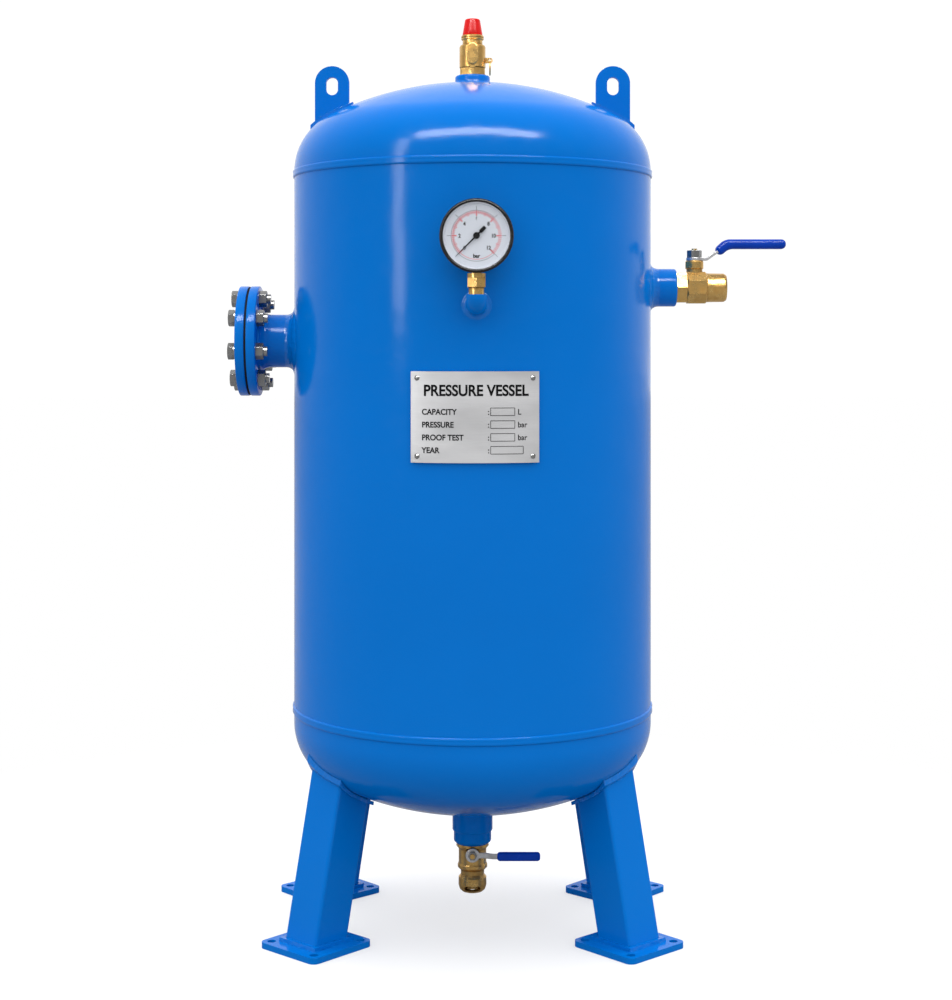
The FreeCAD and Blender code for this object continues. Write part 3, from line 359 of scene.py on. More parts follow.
def finishes():
    c = bpy.context.scene.receiver_colours
    paint, brass = tuple(c.paint), tuple(c.brass)
    zinc, steel = tuple(c.zinc), tuple(c.steel)
    return {
        "blue_paint": lambda n: enamel(n, paint),
        "bead_paint": lambda n: enamel(n, paint, bead=True),
        "brass": lambda n: cast_brass(n, brass),
        "turned_brass": lambda n: cast_brass(n, tone(brass, 1.04), 0.25),
        "zinc_steel": lambda n: plated(n, zinc),
        "steel": lambda n: plated(n, steel, 0.26, (0.12, 1.0, 1.0)),
        "gasket": lambda n: moulded(n, (0.018, 0.018, 0.019), 0.72, 0.0, 0.0003, 500.0, 0.4),
        "plate_alloy": lambda n: brushed_plate(n, tuple(c.plate)),
        "black_case": lambda n: moulded(n, (0.013, 0.012, 0.012), 0.26, 0.25, 0.00003, 600.0, 0.25),
        "dial": lambda n: moulded(n, tuple(c.dial), 0.42, 0.0, 0.00002, 900.0, 0.015),
        "window": clear_glass,
        "pointer": lambda n: moulded(n, (0.012, 0.012, 0.013), 0.38, 0.1, 0.00004, 900.0, 0.3),
        "blue_grip": lambda n: moulded(n, tuple(c.grip), 0.20, 0.14, 0.00012, 260.0, 0.12),
        "red_cap": lambda n: moulded(n, tuple(c.cap), 0.20, 0.14, 0.00005, 500.0, 0.12),
        "seat": lambda n: moulded(n, (0.86, 0.86, 0.84), 0.5, 0.0, 0.00004, 700.0, 0.03),
        "ball_chrome": lambda n: plated(n, (0.80, 0.80, 0.81), 0.06),
        "ink": lambda n: moulded(n, (0.012, 0.012, 0.013), 0.5, 0.0, 0.00003, 1200.0, 0.4),
        "grey_ink": lambda n: moulded(n, (0.10, 0.12, 0.15), 0.5, 0.0, 0.00003, 1200.0, 0.2),
        "rose_ink": lambda n: moulded(n, (0.86, 0.24, 0.27), 0.5, 0.0, 0.00003, 1200.0, 0.15),
        "floor": studio_floor,
    }


def finish(name):
    """The finish of that name, made the first time that it is asked for."""
    title = "receiver_" + name
    return bpy.data.materials.get(title) or finishes()[name](title)


# ------------------------------------------------------------------- shaping pieces
def deselect():
    if bpy.context.object and bpy.context.object.mode != "OBJECT":
        bpy.ops.object.mode_set(mode="OBJECT")
    bpy.ops.object.select_all(action="DESELECT")


def pick(obj):
    deselect()
    obj.select_set(True)
    bpy.context.view_layer.objects.active = obj


def opened(name):
    """The primitive just added, named, open for editing and selected all over."""
    obj = bpy.context.object
    obj.name = obj.data.name = name
    bpy.ops.object.mode_set(mode="EDIT")
    bpy.ops.mesh.select_all(action="SELECT")
    return obj


def closed_up(threshold=2e-6):
    """Merges what lies together and points every face outwards."""
    bpy.ops.mesh.select_all(action="SELECT")
    bpy.ops.mesh.remove_doubles(threshold=threshold)
    bpy.ops.mesh.normals_make_consistent(inside=False)


def trail(name, points):
    """A line of edges through points, extruded one after another."""
    deselect()
    bpy.ops.mesh.primitive_plane_add(size=MM)
    obj = opened(name)
    bpy.ops.mesh.merge(type="CENTER")
    bpy.ops.transform.translate(value=points[0])
    for here, there in zip(points, points[1:]):
        bpy.ops.mesh.extrude_region_move(TRANSFORM_OT_translate={"value": there - here})
    return obj


def turned(name, outline, base=Vector(), axis=Z, steps=96):
    """Spins an outline of (radius, height), in millimetres, about the axis through base."""
    side = Z if abs(axis.z) < 0.5 else X
    if outline[0][0] > 0 or outline[-1][0] > 0:
        outline = outline + outline[:1]
    base = base * MM
    obj = trail(name, [base + side * (r * MM) + axis * (h * MM) for r, h in outline])
    bpy.ops.mesh.select_all(action="SELECT")
    bpy.ops.mesh.remove_doubles(threshold=1e-6)
    bpy.ops.mesh.select_all(action="SELECT")
    bpy.ops.mesh.spin(steps=steps, angle=FULL, center=base, axis=axis)
    closed_up()
    return obj


def slab(name, corners, travel):
    """A flat outline of points, in millimetres, filled and extruded by travel."""
    points = [p * MM for p in corners]
    obj = trail(name, points)
    bpy.ops.mesh.select_all(action="SELECT")
    bpy.ops.mesh.edge_face_add()
    bpy.ops.mesh.extrude_region_move(TRANSFORM_OT_translate={"value": travel * MM})
    closed_up()
    return obj


def arc(centre, radius, start, end, count):
    """Points (radius, height) of an arc, in degrees from outwards towards up."""
    angles = [math.radians(start + (end - start) * i / count) for i in range(count + 1)]
    return [(centre[0] + radius * math.cos(a), centre[1] + radius * math.sin(a)) for a in angles]


def finished(obj, slot, body="vessel", nodes=(), material=None, bevel=0.0, corner=32.0, segments=3,
             smooth=32.0):
    """Rounds a piece's edges, smooths it, gives it its finish and rides it on its body."""
    pick(obj)
    if bevel:
        rounding = obj.modifiers.new("Edges", "BEVEL")
        rounding.width, rounding.segments = bevel * MM, segments
        rounding.limit_method, rounding.angle_limit = "ANGLE", math.radians(corner)
        rounding.miter_outer = "MITER_ARC"
        bpy.ops.object.modifier_apply(modifier=rounding.name)
    bpy.ops.object.transform_apply(location=True, rotation=True, scale=True)
    bpy.ops.object.shade_smooth_by_angle(angle=math.radians(smooth))
    if bevel:
        weights = obj.modifiers.new("Faces", "WEIGHTED_NORMAL")
        weights.keep_sharp = True
        bpy.ops.object.modifier_apply(modifier=weights.name)
    obj.data.materials.clear()
    obj.data.materials.append(finish(material or slot))
    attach(obj, body)
    if nodes:
        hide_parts(*nodes)
    return obj


def recut(node, name, slot, bevel, material=None, corner=32.0, segments=2):
    """A copy of a frame piece, merged and with its sharp edges eased, in place of the original."""
    source = frame["nodes"][node]
    body = source["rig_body"]
    deselect()
    obj = source.copy()
    obj.data = source.data.copy()
    obj.parent = None
    for key in list(obj.keys()):
        del obj[key]
    bpy.context.scene.collection.objects.link(obj)
    pick(obj)
    opened(name)
    bpy.ops.mesh.customdata_custom_splitnormals_clear()
    bpy.ops.mesh.remove_doubles(threshold=1e-5)
    bpy.ops.mesh.dissolve_limited(angle_limit=math.radians(0.4))
    bpy.ops.mesh.normals_make_consistent(inside=False)
    bpy.ops.object.mode_set(mode="OBJECT")
    return finished(obj, slot, body, (node,), material, bevel, corner, segments)


def joined(name, pieces):
    deselect()
    for piece in pieces:
        piece.select_set(True)
    bpy.context.view_layer.objects.active = pieces[0]
    bpy.ops.object.join()
    pieces[0].name = pieces[0].data.name = name
    return pieces[0]


def closing(obj):
    """Leaves edit mode and returns the piece."""
    bpy.ops.object.mode_set(mode="OBJECT")
    return obj


# -------------------------------------------------------------------------- vessel
class RECEIVER_OT_vessel(bpy.types.Operator):
    """Model the shell, the two dished heads and the girth seams"""
    bl_idname = "receiver.vessel"
    bl_label = "Vessel"

    def execute(self, context):
        size = context.scene.receiver_sizes
        radius, wall = SHELL_HIGH.x, size.wall / MM
        crown, knuckle = size.crown / MM, size.knuckle / MM
        drop = math.sqrt((crown - knuckle) ** 2 - (radius - knuckle) ** 2)
        turn = math.degrees(math.atan2(drop, radius - knuckle))

        def dome(seam, tangent, shrink, way):
            points = [(radius - shrink, seam)]
            curve = arc((radius - knuckle, 0), knuckle - shrink, 0, turn, 20)
            curve += arc((0, -drop), crown - shrink, turn, 90, 24)[1:]
            points += [(r, tangent + way * h) for r, h in curve[:-1]]
            return points + [(0.0, tangent + way * curve[-1][1])]

        depth = crown - drop
        for name, node, seam, tangent, way in (
                ("top_dome", "top_head", SHELL_HIGH.z, TOP_Z - depth, 1),
                ("bottom_dome", "bottom_head", SHELL_LOW.z, BOTTOM_Z + depth, -1)):
            outside, inside = dome(seam, tangent, 0, way), dome(seam, tangent, wall, way)
            obj = turned(name, outside[::-1] + inside, steps=size.steps)
            finished(closing(obj), "blue_paint", nodes=(node,), smooth=25)
        obj = turned("shell_skin", [
            (radius, SHELL_LOW.z), (radius, SHELL_HIGH.z), (radius - wall, SHELL_HIGH.z),
            (radius - wall, SHELL_LOW.z)], steps=size.steps)
        finished(closing(obj), "blue_paint", nodes=("shell",))

        half, rise = size.seam_width / MM / 2, edges("girth_welds")[1].x - radius
        bead = [(radius - 1, -half), (radius + 0.2, -half), (radius + rise * 0.7, -half * 0.86),
                (radius + rise, -half * 0.62), (radius + rise * 0.82, -half * 0.2),
                (radius + rise * 0.82, half * 0.2), (radius + rise, half * 0.62),
                (radius + rise * 0.7, half * 0.86), (radius + 0.2, half), (radius - 1, half)]
        rings = [closing(turned("ring", bead, Z * z, steps=size.steps))
                 for z in (SHELL_LOW.z, SHELL_HIGH.z)]
        finished(joined("girth_seams", rings), "blue_paint", nodes=("girth_welds",), smooth=60)
        return {"FINISHED"}


# ---------------------------------------------------------------------------- legs
class RECEIVER_OT_legs(bpy.types.Operator):
    """Model the four splayed square tubes, and ease their base plates and weld beads"""
    bl_idname = "receiver.legs"
    bl_label = "Legs"

    def execute(self, context):
        size = context.scene.receiver_sizes
        low, high = edges("base_plates")
        claims = frame["record"]["behaviour"]["bodies"]["vessel"]
        foot_x, foot_y, plate = 251.93, 150.18, high.z
        rise, splay = 315.0, 0.176
        for node in sorted(n for n in claims if n.startswith("leg_") and n != "leg_welds"):
            across = 1 if node.endswith("right") else -1
            back = -1 if "front" in node else 1
            foot = Vector((across * foot_x, back * foot_y, 0))
            deselect()
            bpy.ops.mesh.primitive_plane_add(
                size=size.leg_side, location=(foot + Z * plate) * MM,
                rotation=(0, 0, math.radians(45 + 2.5 * across * back)))
            obj = opened(node.replace("leg", "tube"))
            lean = Z - foot.normalized() * splay
            bpy.ops.mesh.extrude_region_move(TRANSFORM_OT_translate={"value": lean * (rise * MM)})
            closed_up()
            finished(closing(obj), "blue_paint", nodes=(node,), bevel=size.leg_corner / MM)
        recut("base_plates", "floor_plates", "blue_paint", 1.0)
        recut("leg_welds", "leg_beads", "blue_paint", 3.2, "bead_paint", segments=3)
        recut("lifting_lug_right", "lug_right", "blue_paint", 0.9)
        recut("lifting_lug_left", "lug_left", "blue_paint", 0.9)
        recut("lug_welds", "lug_beads", "blue_paint", 2.2, "bead_paint")
        return {"FINISHED"}


# --------------------------------------------------------------------------- inlet
def fillet(radius, base, axis, start, flare, rise, name):
    """A concave weld round a nozzle, from start on the vessel's outside."""
    deep = start - 3 * rise
    outline = [(radius - 1, deep), (radius + flare + 7, deep), (radius + flare + 7, start - 8)]
    outline += [(radius + flare * (1 - math.sin(t)), start + rise * (1 - math.cos(t)))
                for t in [math.radians(15 * i) for i in range(7)]]
    return closing(turned(name, outline + [(radius - 1, start + rise)], base, axis))


class RECEIVER_OT_inlet(bpy.types.Operator):
    """Model the inlet neck, its flanges and gasket, and ease the bolts and nuts"""
    bl_idname = "receiver.inlet"
    bl_label = "Inlet"

    def execute(self, context):
        size = context.scene.receiver_sizes
        neck, hub = size.neck / MM, size.hub / MM
        rim, bore = INLET_HIGH.z - INLET_Z, 35.0
        face = -INLET_LOW.x
        back = face - 15.0
        base = Z * INLET_Z
        outline = [(bore, SHELL_HIGH.x - 15), (neck, SHELL_HIGH.x - 15), (neck, back - 17)]
        outline += [(neck + (hub - neck) * (1 - math.cos(t)), back - 17 + 14 * math.sin(t))
                    for t in [math.radians(18 * i) for i in range(1, 6)]]
        outline += [(hub + 1.2, back), (rim - 1.4, back), (rim - 0.4, back + 0.4), (rim, back + 1.4),
                    (rim, face - 1.4), (rim - 0.4, face - 0.4), (rim - 1.4, face), (bore, face)]
        obj = turned("welding_neck", outline, base, -X, 128)
        finished(closing(obj), "blue_paint", nodes=("inlet_flange", "inlet_neck"), smooth=50)
        low, high = edges("inlet_gasket")
        reach = high.z - INLET_Z
        obj = turned("ring_gasket", [
            (bore, -high.x), (reach, -high.x), (reach + 0.5, -high.x + 1), (reach + 0.5, -low.x - 1),
            (reach, -low.x), (bore, -low.x)], base, -X, 128)
        finished(closing(obj), "gasket", nodes=("inlet_gasket",))
        start, end = -BLIND_HIGH.x, -BLIND_LOW.x
        obj = turned("blank", [
            (0, start), (rim - 1.4, start), (rim - 0.4, start + 0.4), (rim, start + 1.4), (rim, end - 1.4),
            (rim - 0.4, end - 0.4), (rim - 1.4, end), (56, end), (54.5, end - 0.35), (53, end - 0.35),
            (51.5, end), (0, end)], base, -X, 128)
        finished(closing(obj), "blue_paint", nodes=("blind_flange",), smooth=50)
        recut("flange_bolts", "inlet_bolts", "zinc_steel", 0.5)
        recut("flange_nuts", "inlet_nuts", "zinc_steel", 0.5)

        coupling = size.coupling / MM
        elbow_low, elbow_high = edges("gauge_elbow")
        elbow_z = elbow_low.z + 15.5
        top, bottom = TOP_Z - 0.8, BOTTOM_Z + 1.0
        welds = [
            fillet(neck, base, -X, SHELL_HIGH.x, 13, 14, "bead"),
            fillet(coupling, Z * OUTLET_Z, X, SHELL_HIGH.x, 11, 14, "bead"),
            fillet(15.5, X * GAUGE_X + Z * elbow_z, -Y, SHELL_HIGH.x, 7, 6, "bead"),
            fillet(29.4, Vector(), Z, top, 6, 6.5, "bead"),
            fillet(34.0, Vector(), -Z, -bottom, 8, 9, "bead")]
        finished(joined("nozzle_beads", welds), "blue_paint", nodes=("nozzle_welds",),
                 material="bead_paint", smooth=50)
        return {"FINISHED"}


# ----------------------------------------------------------------------- couplings
class RECEIVER_OT_couplings(bpy.types.Operator):
    """Model the outlet coupling, the drain coupling and the safety valve's socket"""
    bl_idname = "receiver.couplings"
    bl_label = "Couplings"

    def execute(self, context):
        radius, bore = context.scene.receiver_sizes.coupling / MM, 21.0
        start, end = OUTLET_LOW.x, OUTLET_HIGH.x
        obj = turned("outlet_boss", [
            (bore, start), (radius, start), (radius, end - 3), (radius - 0.8, end - 1.2), (radius - 2.6, end),
            (bore, end)], Z * OUTLET_Z, X)
        finished(closing(obj), "blue_paint", nodes=("outlet_coupling",), smooth=60)
        low, high = edges("drain_coupling")
        wide, slim = high.x, 31.7
        obj = turned("drain_boss", [
            (bore, high.z), (wide, high.z), (wide, low.z + 24), (wide - 0.6, low.z + 22.4),
            (slim + 0.4, low.z + 21.2), (slim, low.z + 20.4), (slim, low.z + 6), (slim - 0.7, low.z + 4),
            (slim - 4.4, low.z + 0.4), (slim - 5.2, low.z), (bore, low.z)])
        finished(closing(obj), "blue_paint", nodes=("drain_coupling",), smooth=45)
        low, high = edges("relief_socket")
        wide = high.x
        obj = turned("valve_boss", [
            (16, low.z), (wide, low.z), (wide, high.z - 3.6), (wide - 0.7, high.z - 1.8),
            (wide - 2.0, high.z - 0.6), (wide - 3.6, high.z), (16, high.z)])
        finished(closing(obj), "blue_paint", nodes=("relief_socket",), smooth=60)
        return {"FINISHED"}


# --------------------------------------------------------------------------- gauge
def written(text, height, at, name, stretch=1.0, weight=0.0, align="CENTER"):
    """Text as a thin mesh that faces -Y, with its baseline's point at 'at' in millimetres."""
    deselect()
    bpy.ops.object.text_add(location=at * MM, rotation=(math.pi / 2, 0, 0))
    obj = bpy.context.object
    obj.data.body, obj.data.align_x = text, align
    obj.data.size, obj.data.offset = height * MM * 1.38, weight * MM
    obj.scale.x = stretch
    bpy.ops.object.convert(target="MESH")
    obj = bpy.context.object
    obj.name = name
    bpy.ops.object.transform_apply(location=True, rotation=True, scale=True)
    return obj


def strip(name, start, end, width, y):
    """A flat bar between two points (x, z) of a dial or plate, facing -Y."""
    a, b = Vector((start[0], y, start[1])), Vector((end[0], y, end[1]))
    side = (b - a).normalized().cross(Y) * (width / 2)
    corners = [p * MM for p in (a - side, a + side)]
    obj = trail(name, corners)
    bpy.ops.mesh.select_all(action="SELECT")
    pieces = max(1, round((b - a).length / 4))
    for _ in range(pieces):
        bpy.ops.mesh.extrude_region_move(TRANSFORM_OT_translate={"value": (b - a) * (MM / pieces)})
    return closing(obj)


def ring_part(name, centre, inner, outer, y, start, sweep, steps):
    """Part of a flat ring facing -Y, from start through sweep degrees."""
    axis = Vector((centre[0], y, centre[1])) * MM
    a = math.radians(start)
    out = Vector((math.cos(a), 0, math.sin(a)))
    obj = trail(name, [axis + out * (inner * MM), axis + out * (outer * MM)])
    bpy.ops.mesh.select_all(action="SELECT")
    bpy.ops.mesh.spin(steps=steps, angle=math.radians(sweep), center=axis, axis=-Y)
    return closing(obj)


class RECEIVER_OT_gauge(bpy.types.Operator):
    """Model the gauge's case, bezel and ring, and print its scale and numbers"""
    bl_idname = "receiver.gauge"
    bl_label = "Gauge"

    def execute(self, context):
        size = context.scene.receiver_sizes
        centre = Vector((GAUGE_X, 0, GAUGE_Z))
        radius = CASE_HIGH.x - GAUGE_X
        back, front = -CASE_HIGH.y, -CASE_LOW.y
        obj = turned("case", [
            (0, back), (radius - 5, back), (radius - 1.5, back + 1.3), (radius, back + 5), (radius, front),
            (radius - 1.5, front), (radius - 1.5, back + 5), (radius - 5, back + 1.5), (0, back + 1.5)],
            centre, -Y)
        finished(closing(obj), "black_case", nodes=("gauge_case",), smooth=50)

        low, high = edges("gauge_bezel")
        outer, lip = high.x - GAUGE_X, size.bezel_lip / MM
        inner, nose, tail = outer - lip, -low.y, -high.y
        outline = [(radius + 0.1, tail), (outer - 0.8, tail), (outer, tail + 0.8), (outer, nose - 5)]
        outline += [(outer - 3.4 + 3.4 * math.cos(t), nose - 5 + 5 * math.sin(t))
                    for t in [math.radians(15 * i) for i in range(1, 7)]]
        outline += [(inner + 0.6, nose - 1.0), (inner, nose - 2.4), (inner, nose - 4),
                    (radius + 0.1, nose - 4)]
        obj = turned("bezel", outline, centre, -Y, 128)
        finished(closing(obj), "black_case", nodes=("gauge_bezel",), smooth=50)

        face_low, face_high = edges("gauge_dial")
        face = -face_low.y
        obj = turned("reflector_ring", [
            (inner - 2.4, face + 0.05), (radius - 1.8, face + 0.05), (radius - 1.8, front - 0.05),
            (inner - 0.9, front - 0.05), (inner - 1.9, front - 1.6)], centre, -Y)
        finished(closing(obj), "dial", smooth=50)

        arc_r = size.scale_radius / MM
        number_r, number_height, first, sweep = 25.5, 5.8, 225, 270
        middle, y = (GAUGE_X, GAUGE_Z), -face - 0.02
        rose, grey, black = [], [], []
        grey.append(ring_part("mark", middle, arc_r, arc_r + 0.5, y, first - sweep, sweep, 96))
        steps = 60
        for i in range(steps + 1):
            a = math.radians(first - sweep * i / steps)
            out = Vector((math.cos(a), math.sin(a)))
            main, half = i % 10 == 0, i % 5 == 0
            reach = 7.8 if main else 6.2 if half else 4.8
            spot = Vector(middle)
            rose.append(strip("mark", spot + out * (arc_r - 0.3 - reach), spot + out * (arc_r - 0.3),
                              2.0 if main else 1.5 if half else 1.1, y))
            if main:
                grey.append(strip("mark", spot + out * (arc_r + 0.6), spot + out * (arc_r + 6.5), 0.6, y))
                at = spot + out * number_r
                black.append(written(str(i // 5), number_height, Vector((at.x, y, at.y - 2.8)),
                                     "mark", 0.9, 0.28))
        rose.append(ring_part("mark", middle, arc_r - 3.0, arc_r - 2.3, y, first - sweep, sweep, 96))
        black.append(written("bar", number_height, Vector((GAUGE_X, y, GAUGE_Z - 33)), "mark", 1.0, 0.30))
        for name, pieces, ink in (("scale_ticks", rose, "rose_ink"), ("scale_arc", grey, "grey_ink"),
                                  ("scale_numbers", black, "ink")):
            printed(joined(name, pieces), ink)
        return {"FINISHED"}


def printed(obj, ink):
    """Turns flat marks to face -Y, gives them a film's thickness and their ink."""
    pick(obj)
    opened(obj.name)
    bpy.ops.mesh.normals_make_consistent(inside=False)
    bpy.ops.mesh.select_all(action="DESELECT")
    bpy.ops.object.mode_set(mode="OBJECT")
    for face in obj.data.polygons:
        face.select = face.normal.y > 0
    bpy.ops.object.mode_set(mode="EDIT")
    bpy.ops.mesh.select_mode(type="FACE")
    bpy.ops.mesh.flip_normals()
    bpy.ops.mesh.select_mode(type="VERT")
    bpy.ops.object.mode_set(mode="OBJECT")
    film = obj.modifiers.new("Film", "SOLIDIFY")
    film.thickness, film.offset = 0.1 * MM, 1.0
    bpy.ops.object.modifier_apply(modifier=film.name)
    return finished(obj, "pointer", material=ink)


# ----------------------------------------------------------------------- nameplate
class RECEIVER_OT_nameplate(bpy.types.Operator):
    """Print generic headings and blank boxes on the rolled nameplate"""
    bl_idname = "receiver.nameplate"
    bl_label = "Nameplate"

    def execute(self, context):
        size = context.scene.receiver_sizes
        left, top, front = PLATE_LOW.x, PLATE_HIGH.z, PLATE_LOW.y - 3
        title, small, line_width = size.title_height / MM, 8.8, 0.8
        first_row, pitch, label_at, colon_at, box_at, unit_at = 66, 19.6, 17, 118, 122.5, 164
        pieces = [written("PRESSURE VESSEL", title, Vector((left + 100, front, top - 37)),
                          "line", 0.90, 0.66)]
        rows = (("CAPACITY", "L", 37.0), ("PRESSURE", "bar", 37.0), ("PROOF TEST", "bar", 37.0),
                ("YEAR", "", 50.0))
        for i, (label, unit, width) in enumerate(rows):
            z = top - first_row - pitch * i
            for text, at, stretch, weight in ((label, label_at, 0.93, 0.32), (":", colon_at, 1.0, 0.2),
                                              (unit, unit_at, 0.9, 0.15)):
                if text:
                    pieces.append(written(text, small, Vector((left + at, front, z)), "line",
                                          stretch, weight, "LEFT"))
            x0, x1, z0, z1 = left + box_at, left + box_at + width, z - 1.4, z + 10.2
            corners = ((x0, z0), (x1, z0), (x1, z1), (x0, z1))
            for a, b in zip(corners, corners[1:] + corners[:1]):
                pieces.append(strip("line", a, b, line_width, front))
        obj = joined("plate_print", pieces)
        wrap = obj.modifiers.new("Wrap", "SHRINKWRAP")
        wrap.target, wrap.wrap_method = frame["nodes"]["name_plate"], "PROJECT"
        wrap.use_project_y, wrap.use_positive_direction, wrap.use_negative_direction = True, True, False
        wrap.offset = 0.2 * MM
        pick(obj)
        bpy.ops.object.modifier_apply(modifier=wrap.name)
        printed(obj, "ink")
        return {"FINISHED"}


# --------------------------------------------------------------------- brass valves
class RECEIVER_OT_valves(bpy.types.Operator):
    """Ease the edges of the two lever ball valves"""
    bl_idname = "receiver.valves"
    bl_label = "Ball valves"

    def execute(self, context):
        for node, name, bevel in (
                ("outlet_body", "outlet_casting", 1.4), ("outlet_adapter", "outlet_end", 0.9),
                ("drain_body", "drain_casting", 0.8), ("drain_end", "drain_tail", 0.8)):
            recut(node, name, "brass", bevel)
        low, high = edges("outlet_grip")
        middle, foot = high.z - 8.75, Vector((low.x + 8, 0, low.z + 7.5))
        line = [foot + Vector((-4, 0, -3)), Vector((low.x + 20, 0, middle)), Vector((high.x, 0, middle))]
        self.sleeve("outlet_sleeve", line, Z, 16.5, high.y - low.y, 7.6, "outlet_handle", "outlet_grip")
        low, high = edges("drain_grip")
        middle = Vector((0, (low.y + high.y) / 2, (low.z + high.z) / 2))
        line = [middle + X * low.x, middle + X * high.x]
        self.sleeve("drain_sleeve", line, Y, 11.0, high.z - low.z, 5.0, "drain_handle", "drain_grip")
        recut("outlet_lever", "outlet_strap", "steel", 0.5)
        recut("drain_lever", "drain_strap", "steel", 0.5)
        recut("outlet_nut", "outlet_locknut", "zinc_steel", 0.6)
        recut("drain_nut", "drain_locknut", "zinc_steel", 0.5)
        return {"FINISHED"}

    def sleeve(self, name, line, up, thick, width, rounding, body, node):
        """A dipped sleeve along a line, thick along up, rounded all over."""
        steps = [(b - a).normalized() for a, b in zip(line, line[1:])]
        across = steps[0].cross(up).normalized()
        upper, lower = [], []
        for i, point in enumerate(line):
            near = [step.cross(across) for step in (steps[max(i - 1, 0)], steps[min(i, len(steps) - 1)])]
            side = near[0] + near[1]
            side = side * (thick / side.length_squared)
            upper.append(point + side)
            lower.append(point - side)
        corners = [p - across * (width / 2) for p in upper + lower[::-1]]
        obj = slab(name, corners, across * width)
        finished(closing(obj), "blue_grip", body=body, nodes=(node,), bevel=rounding, segments=6, smooth=60)


# ------------------------------------------------------------------- safety valve
class RECEIVER_OT_safety_valve(bpy.types.Operator):
    """Model the safety valve's cap and collar, and ease its body"""
    bl_idname = "receiver.safety_valve"
    bl_label = "Safety valve"

    def execute(self, context):
        low, high = CAP_LOW.z, CAP_HIGH.z
        base, top, wall = CAP_HIGH.x, CAP_HIGH.x - 3.8, 2.5
        outline = [(base - wall, low), (base - 0.6, low), (base, low + 0.7), (base - 0.1, low + 3),
                   (base - 1.2, low + 9)]
        outline += arc((top - 3.4, high - 4), 3.4, 8, 90, 6)
        outline += [(0, high + 0.0), (0, high - 4), (top - wall, high - 4)]
        cap = turned("test_cap_cover", outline, steps=96)
        low_z, high_z = BONNET_LOW.z, BONNET_HIGH.z
        finished(closing(cap), "red_cap", body="test_cap", nodes=("relief_cap",), smooth=50)
        radius = BONNET_HIGH.x
        obj = turned("collar", [
            (4.05, low_z), (12.9, low_z), (12.9, low_z + 5), (radius - 1.2, low_z + 5), (radius, low_z + 6.2),
            (radius, high_z - 4.6), (radius - 0.7, high_z - 4.2), (radius - 0.7, high_z - 3.8),
            (radius, high_z - 3.4), (radius, high_z - 1.2), (radius - 1.2, high_z), (4.05, high_z)])
        finished(closing(obj), "brass", nodes=("relief_bonnet",), material="turned_brass", smooth=40)
        recut("relief_body", "relief_casting", "brass", 0.8)
        low, high = edges("relief_spring")
        spring = recut("relief_spring", "lift_spring", "steel", 0.0)
        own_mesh(spring)
        front = edges("relief_body")[0].y
        proud, sunk, pad_r, straight = 1.5, 7.0, 10, 8
        middle = Vector((0, front - proud, low_z - 20))
        oval = arc((0, straight), pad_r, 0, 180, 16) + arc((0, -straight), pad_r, 180, 360, 16)
        pad = slab("casting_pad", [middle + X * x + Z * z for x, z in oval], Y * sunk)
        finished(closing(pad), "brass", bevel=1.4)
        return {"FINISHED"}


# ------------------------------------------------------------- pieces of the frame
class RECEIVER_OT_carried(bpy.types.Operator):
    """Give every piece of the frame the finish of its material slot"""
    bl_idname = "receiver.carried"
    bl_label = "Frame finishes"

    def execute(self, context):
        beads = ("leg_welds", "lug_welds", "nozzle_welds")
        turned_brass = ("gauge_stem", "relief_ring", "outlet_gland", "drain_gland")
        for row in frame["record"]["subparts"]:
            node, slot = row["node"], row["material_slot"]
            name = "bead_paint" if node in beads else "turned_brass" if node in turned_brass else slot
            for place in frame["nodes"][node].material_slots:
                place.material = finish(name)
        return {"FINISHED"}


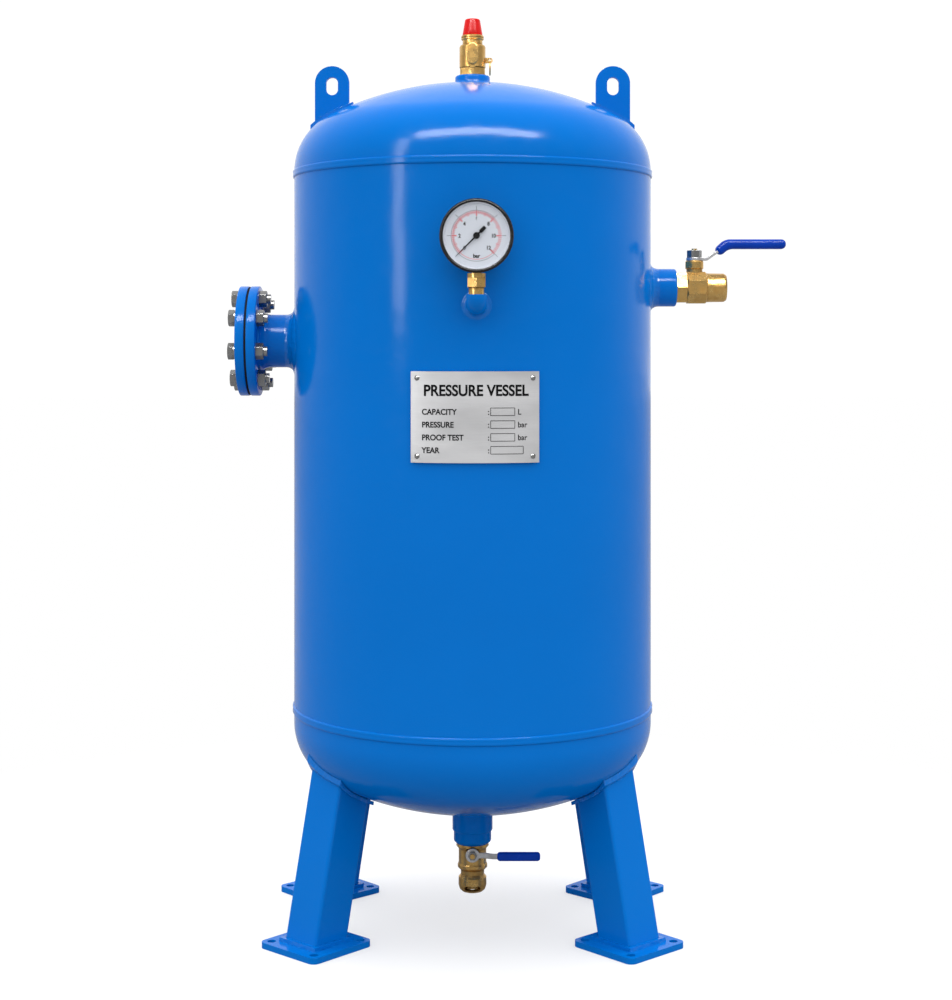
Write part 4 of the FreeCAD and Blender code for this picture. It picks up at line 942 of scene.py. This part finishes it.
# --------------------------------------------------------------------------- stage
class RECEIVER_OT_stage(bpy.types.Operator):
    """Add the floor, the soft lights and the camera"""
    bl_idname = "receiver.stage"
    bl_label = "Stage"

    def execute(self, context):
        scene = context.scene
        deselect()
        bpy.ops.mesh.primitive_plane_add(size=60)
        floor = bpy.context.object
        floor.name = "floor"
        floor.data.materials.append(finish("floor"))

        world = bpy.data.worlds.new("Studio")
        world.use_nodes = True
        self.studio(world.node_tree)
        scene.world = world
        scene.view_settings.view_transform = "Standard"

        aim = Vector((0, 0, 0.95))
        for name, place, width, height, power, fills in (
                ("strip", (-1.95, -2.0, 1.95), 0.34, 1.9, 34.0, False),
                ("front_top", (0.15, -2.0, 3.35), 3.7, 0.65, 300.0, False),
                ("overhead", (0.0, 0.0, 4.2), 5.0, 5.0, 30.0, True)):
            deselect()
            bpy.ops.object.light_add(type="AREA", location=place)
            lamp = bpy.context.object
            lamp.name = lamp.data.name = name
            lamp.data.shape, lamp.data.size, lamp.data.size_y = "RECTANGLE", width, height
            lamp.data.energy = power
            lamp.visible_diffuse, lamp.visible_glossy = fills, not fills
            lamp.rotation_euler = (aim - Vector(place)).to_track_quat("-Z", "Y").to_euler()

        camera = bpy.data.cameras.new("Camera")
        camera.lens, camera.sensor_width = 66.9, 36.0
        camera.shift_x, camera.shift_y = 0.0035, -0.159
        view = bpy.data.objects.new("Camera", camera)
        view.location, view.rotation_euler = (0, -3.1416, 0.975), (math.pi / 2, 0, 0)
        scene.collection.objects.link(view)
        scene.camera = view
        return {"FINISHED"}

    def studio(self, tree):
        """A white room whose front is dimmer in reflections."""
        def add(kind, **inputs):
            node = tree.nodes.new(kind)
            for name, value in inputs.items():
                if isinstance(value, bpy.types.NodeSocket):
                    tree.links.new(value, node.inputs[int(name[1:])])
                else:
                    node.inputs[int(name[1:])].default_value = value
            return node

        place = add("ShaderNodeTexCoord").outputs["Generated"]
        parts = add("ShaderNodeSeparateXYZ", _0=place).outputs
        room = add("ShaderNodeMapRange", _0=parts["Y"], _1=-0.2, _2=0.6, _3=0.25, _4=1.0).outputs[0]
        mirrored = add("ShaderNodeLightPath").outputs["Is Glossy Ray"]
        sky = add("ShaderNodeMapRange", _0=parts["Z"], _1=0.0, _2=1.0, _3=0.93, _4=2.1).outputs[0]
        light = add("ShaderNodeMapRange", _0=mirrored, _3=sky, _4=room).outputs[0]
        seen = add("ShaderNodeLightPath").outputs["Is Camera Ray"]
        light = add("ShaderNodeMapRange", _0=seen, _3=light, _4=1.04).outputs[0]
        tree.links.new(light, tree.nodes["Background"].inputs["Strength"])
        tree.nodes["Background"].inputs["Color"].default_value = (1.0, 1.0, 1.0, 1.0)


OPERATORS = (RECEIVER_OT_carried, RECEIVER_OT_vessel, RECEIVER_OT_legs, RECEIVER_OT_inlet,
             RECEIVER_OT_couplings, RECEIVER_OT_gauge, RECEIVER_OT_nameplate, RECEIVER_OT_valves,
             RECEIVER_OT_safety_valve, RECEIVER_OT_stage)


class RECEIVER_PT_panel(bpy.types.Panel):
    """The receiver's sizes, colours and steps"""
    bl_label = "Air receiver"
    bl_idname = "RECEIVER_PT_panel"
    bl_space_type = "VIEW_3D"
    bl_region_type = "UI"
    bl_category = "Receiver"

    def draw(self, context):
        for group in (context.scene.receiver_sizes, context.scene.receiver_colours):
            for name in group.__annotations__:
                self.layout.prop(group, name)
        for operator in OPERATORS:
            self.layout.operator(operator.bl_idname)


CLASSES = (ReceiverSizes, ReceiverColours, *OPERATORS, RECEIVER_PT_panel)


def register():
    for cls in CLASSES:
        bpy.utils.register_class(cls)
    bpy.types.Scene.receiver_sizes = PointerProperty(type=ReceiverSizes)
    bpy.types.Scene.receiver_colours = PointerProperty(type=ReceiverColours)


def unregister():
    del bpy.types.Scene.receiver_colours
    del bpy.types.Scene.receiver_sizes
    for cls in reversed(CLASSES):
        bpy.utils.unregister_class(cls)


def main():
    register()
    for operator in OPERATORS:
        getattr(bpy.ops.receiver, operator.bl_idname.split(".")[1])()
    deselect()
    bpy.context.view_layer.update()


if __name__ == "__main__":
    main()
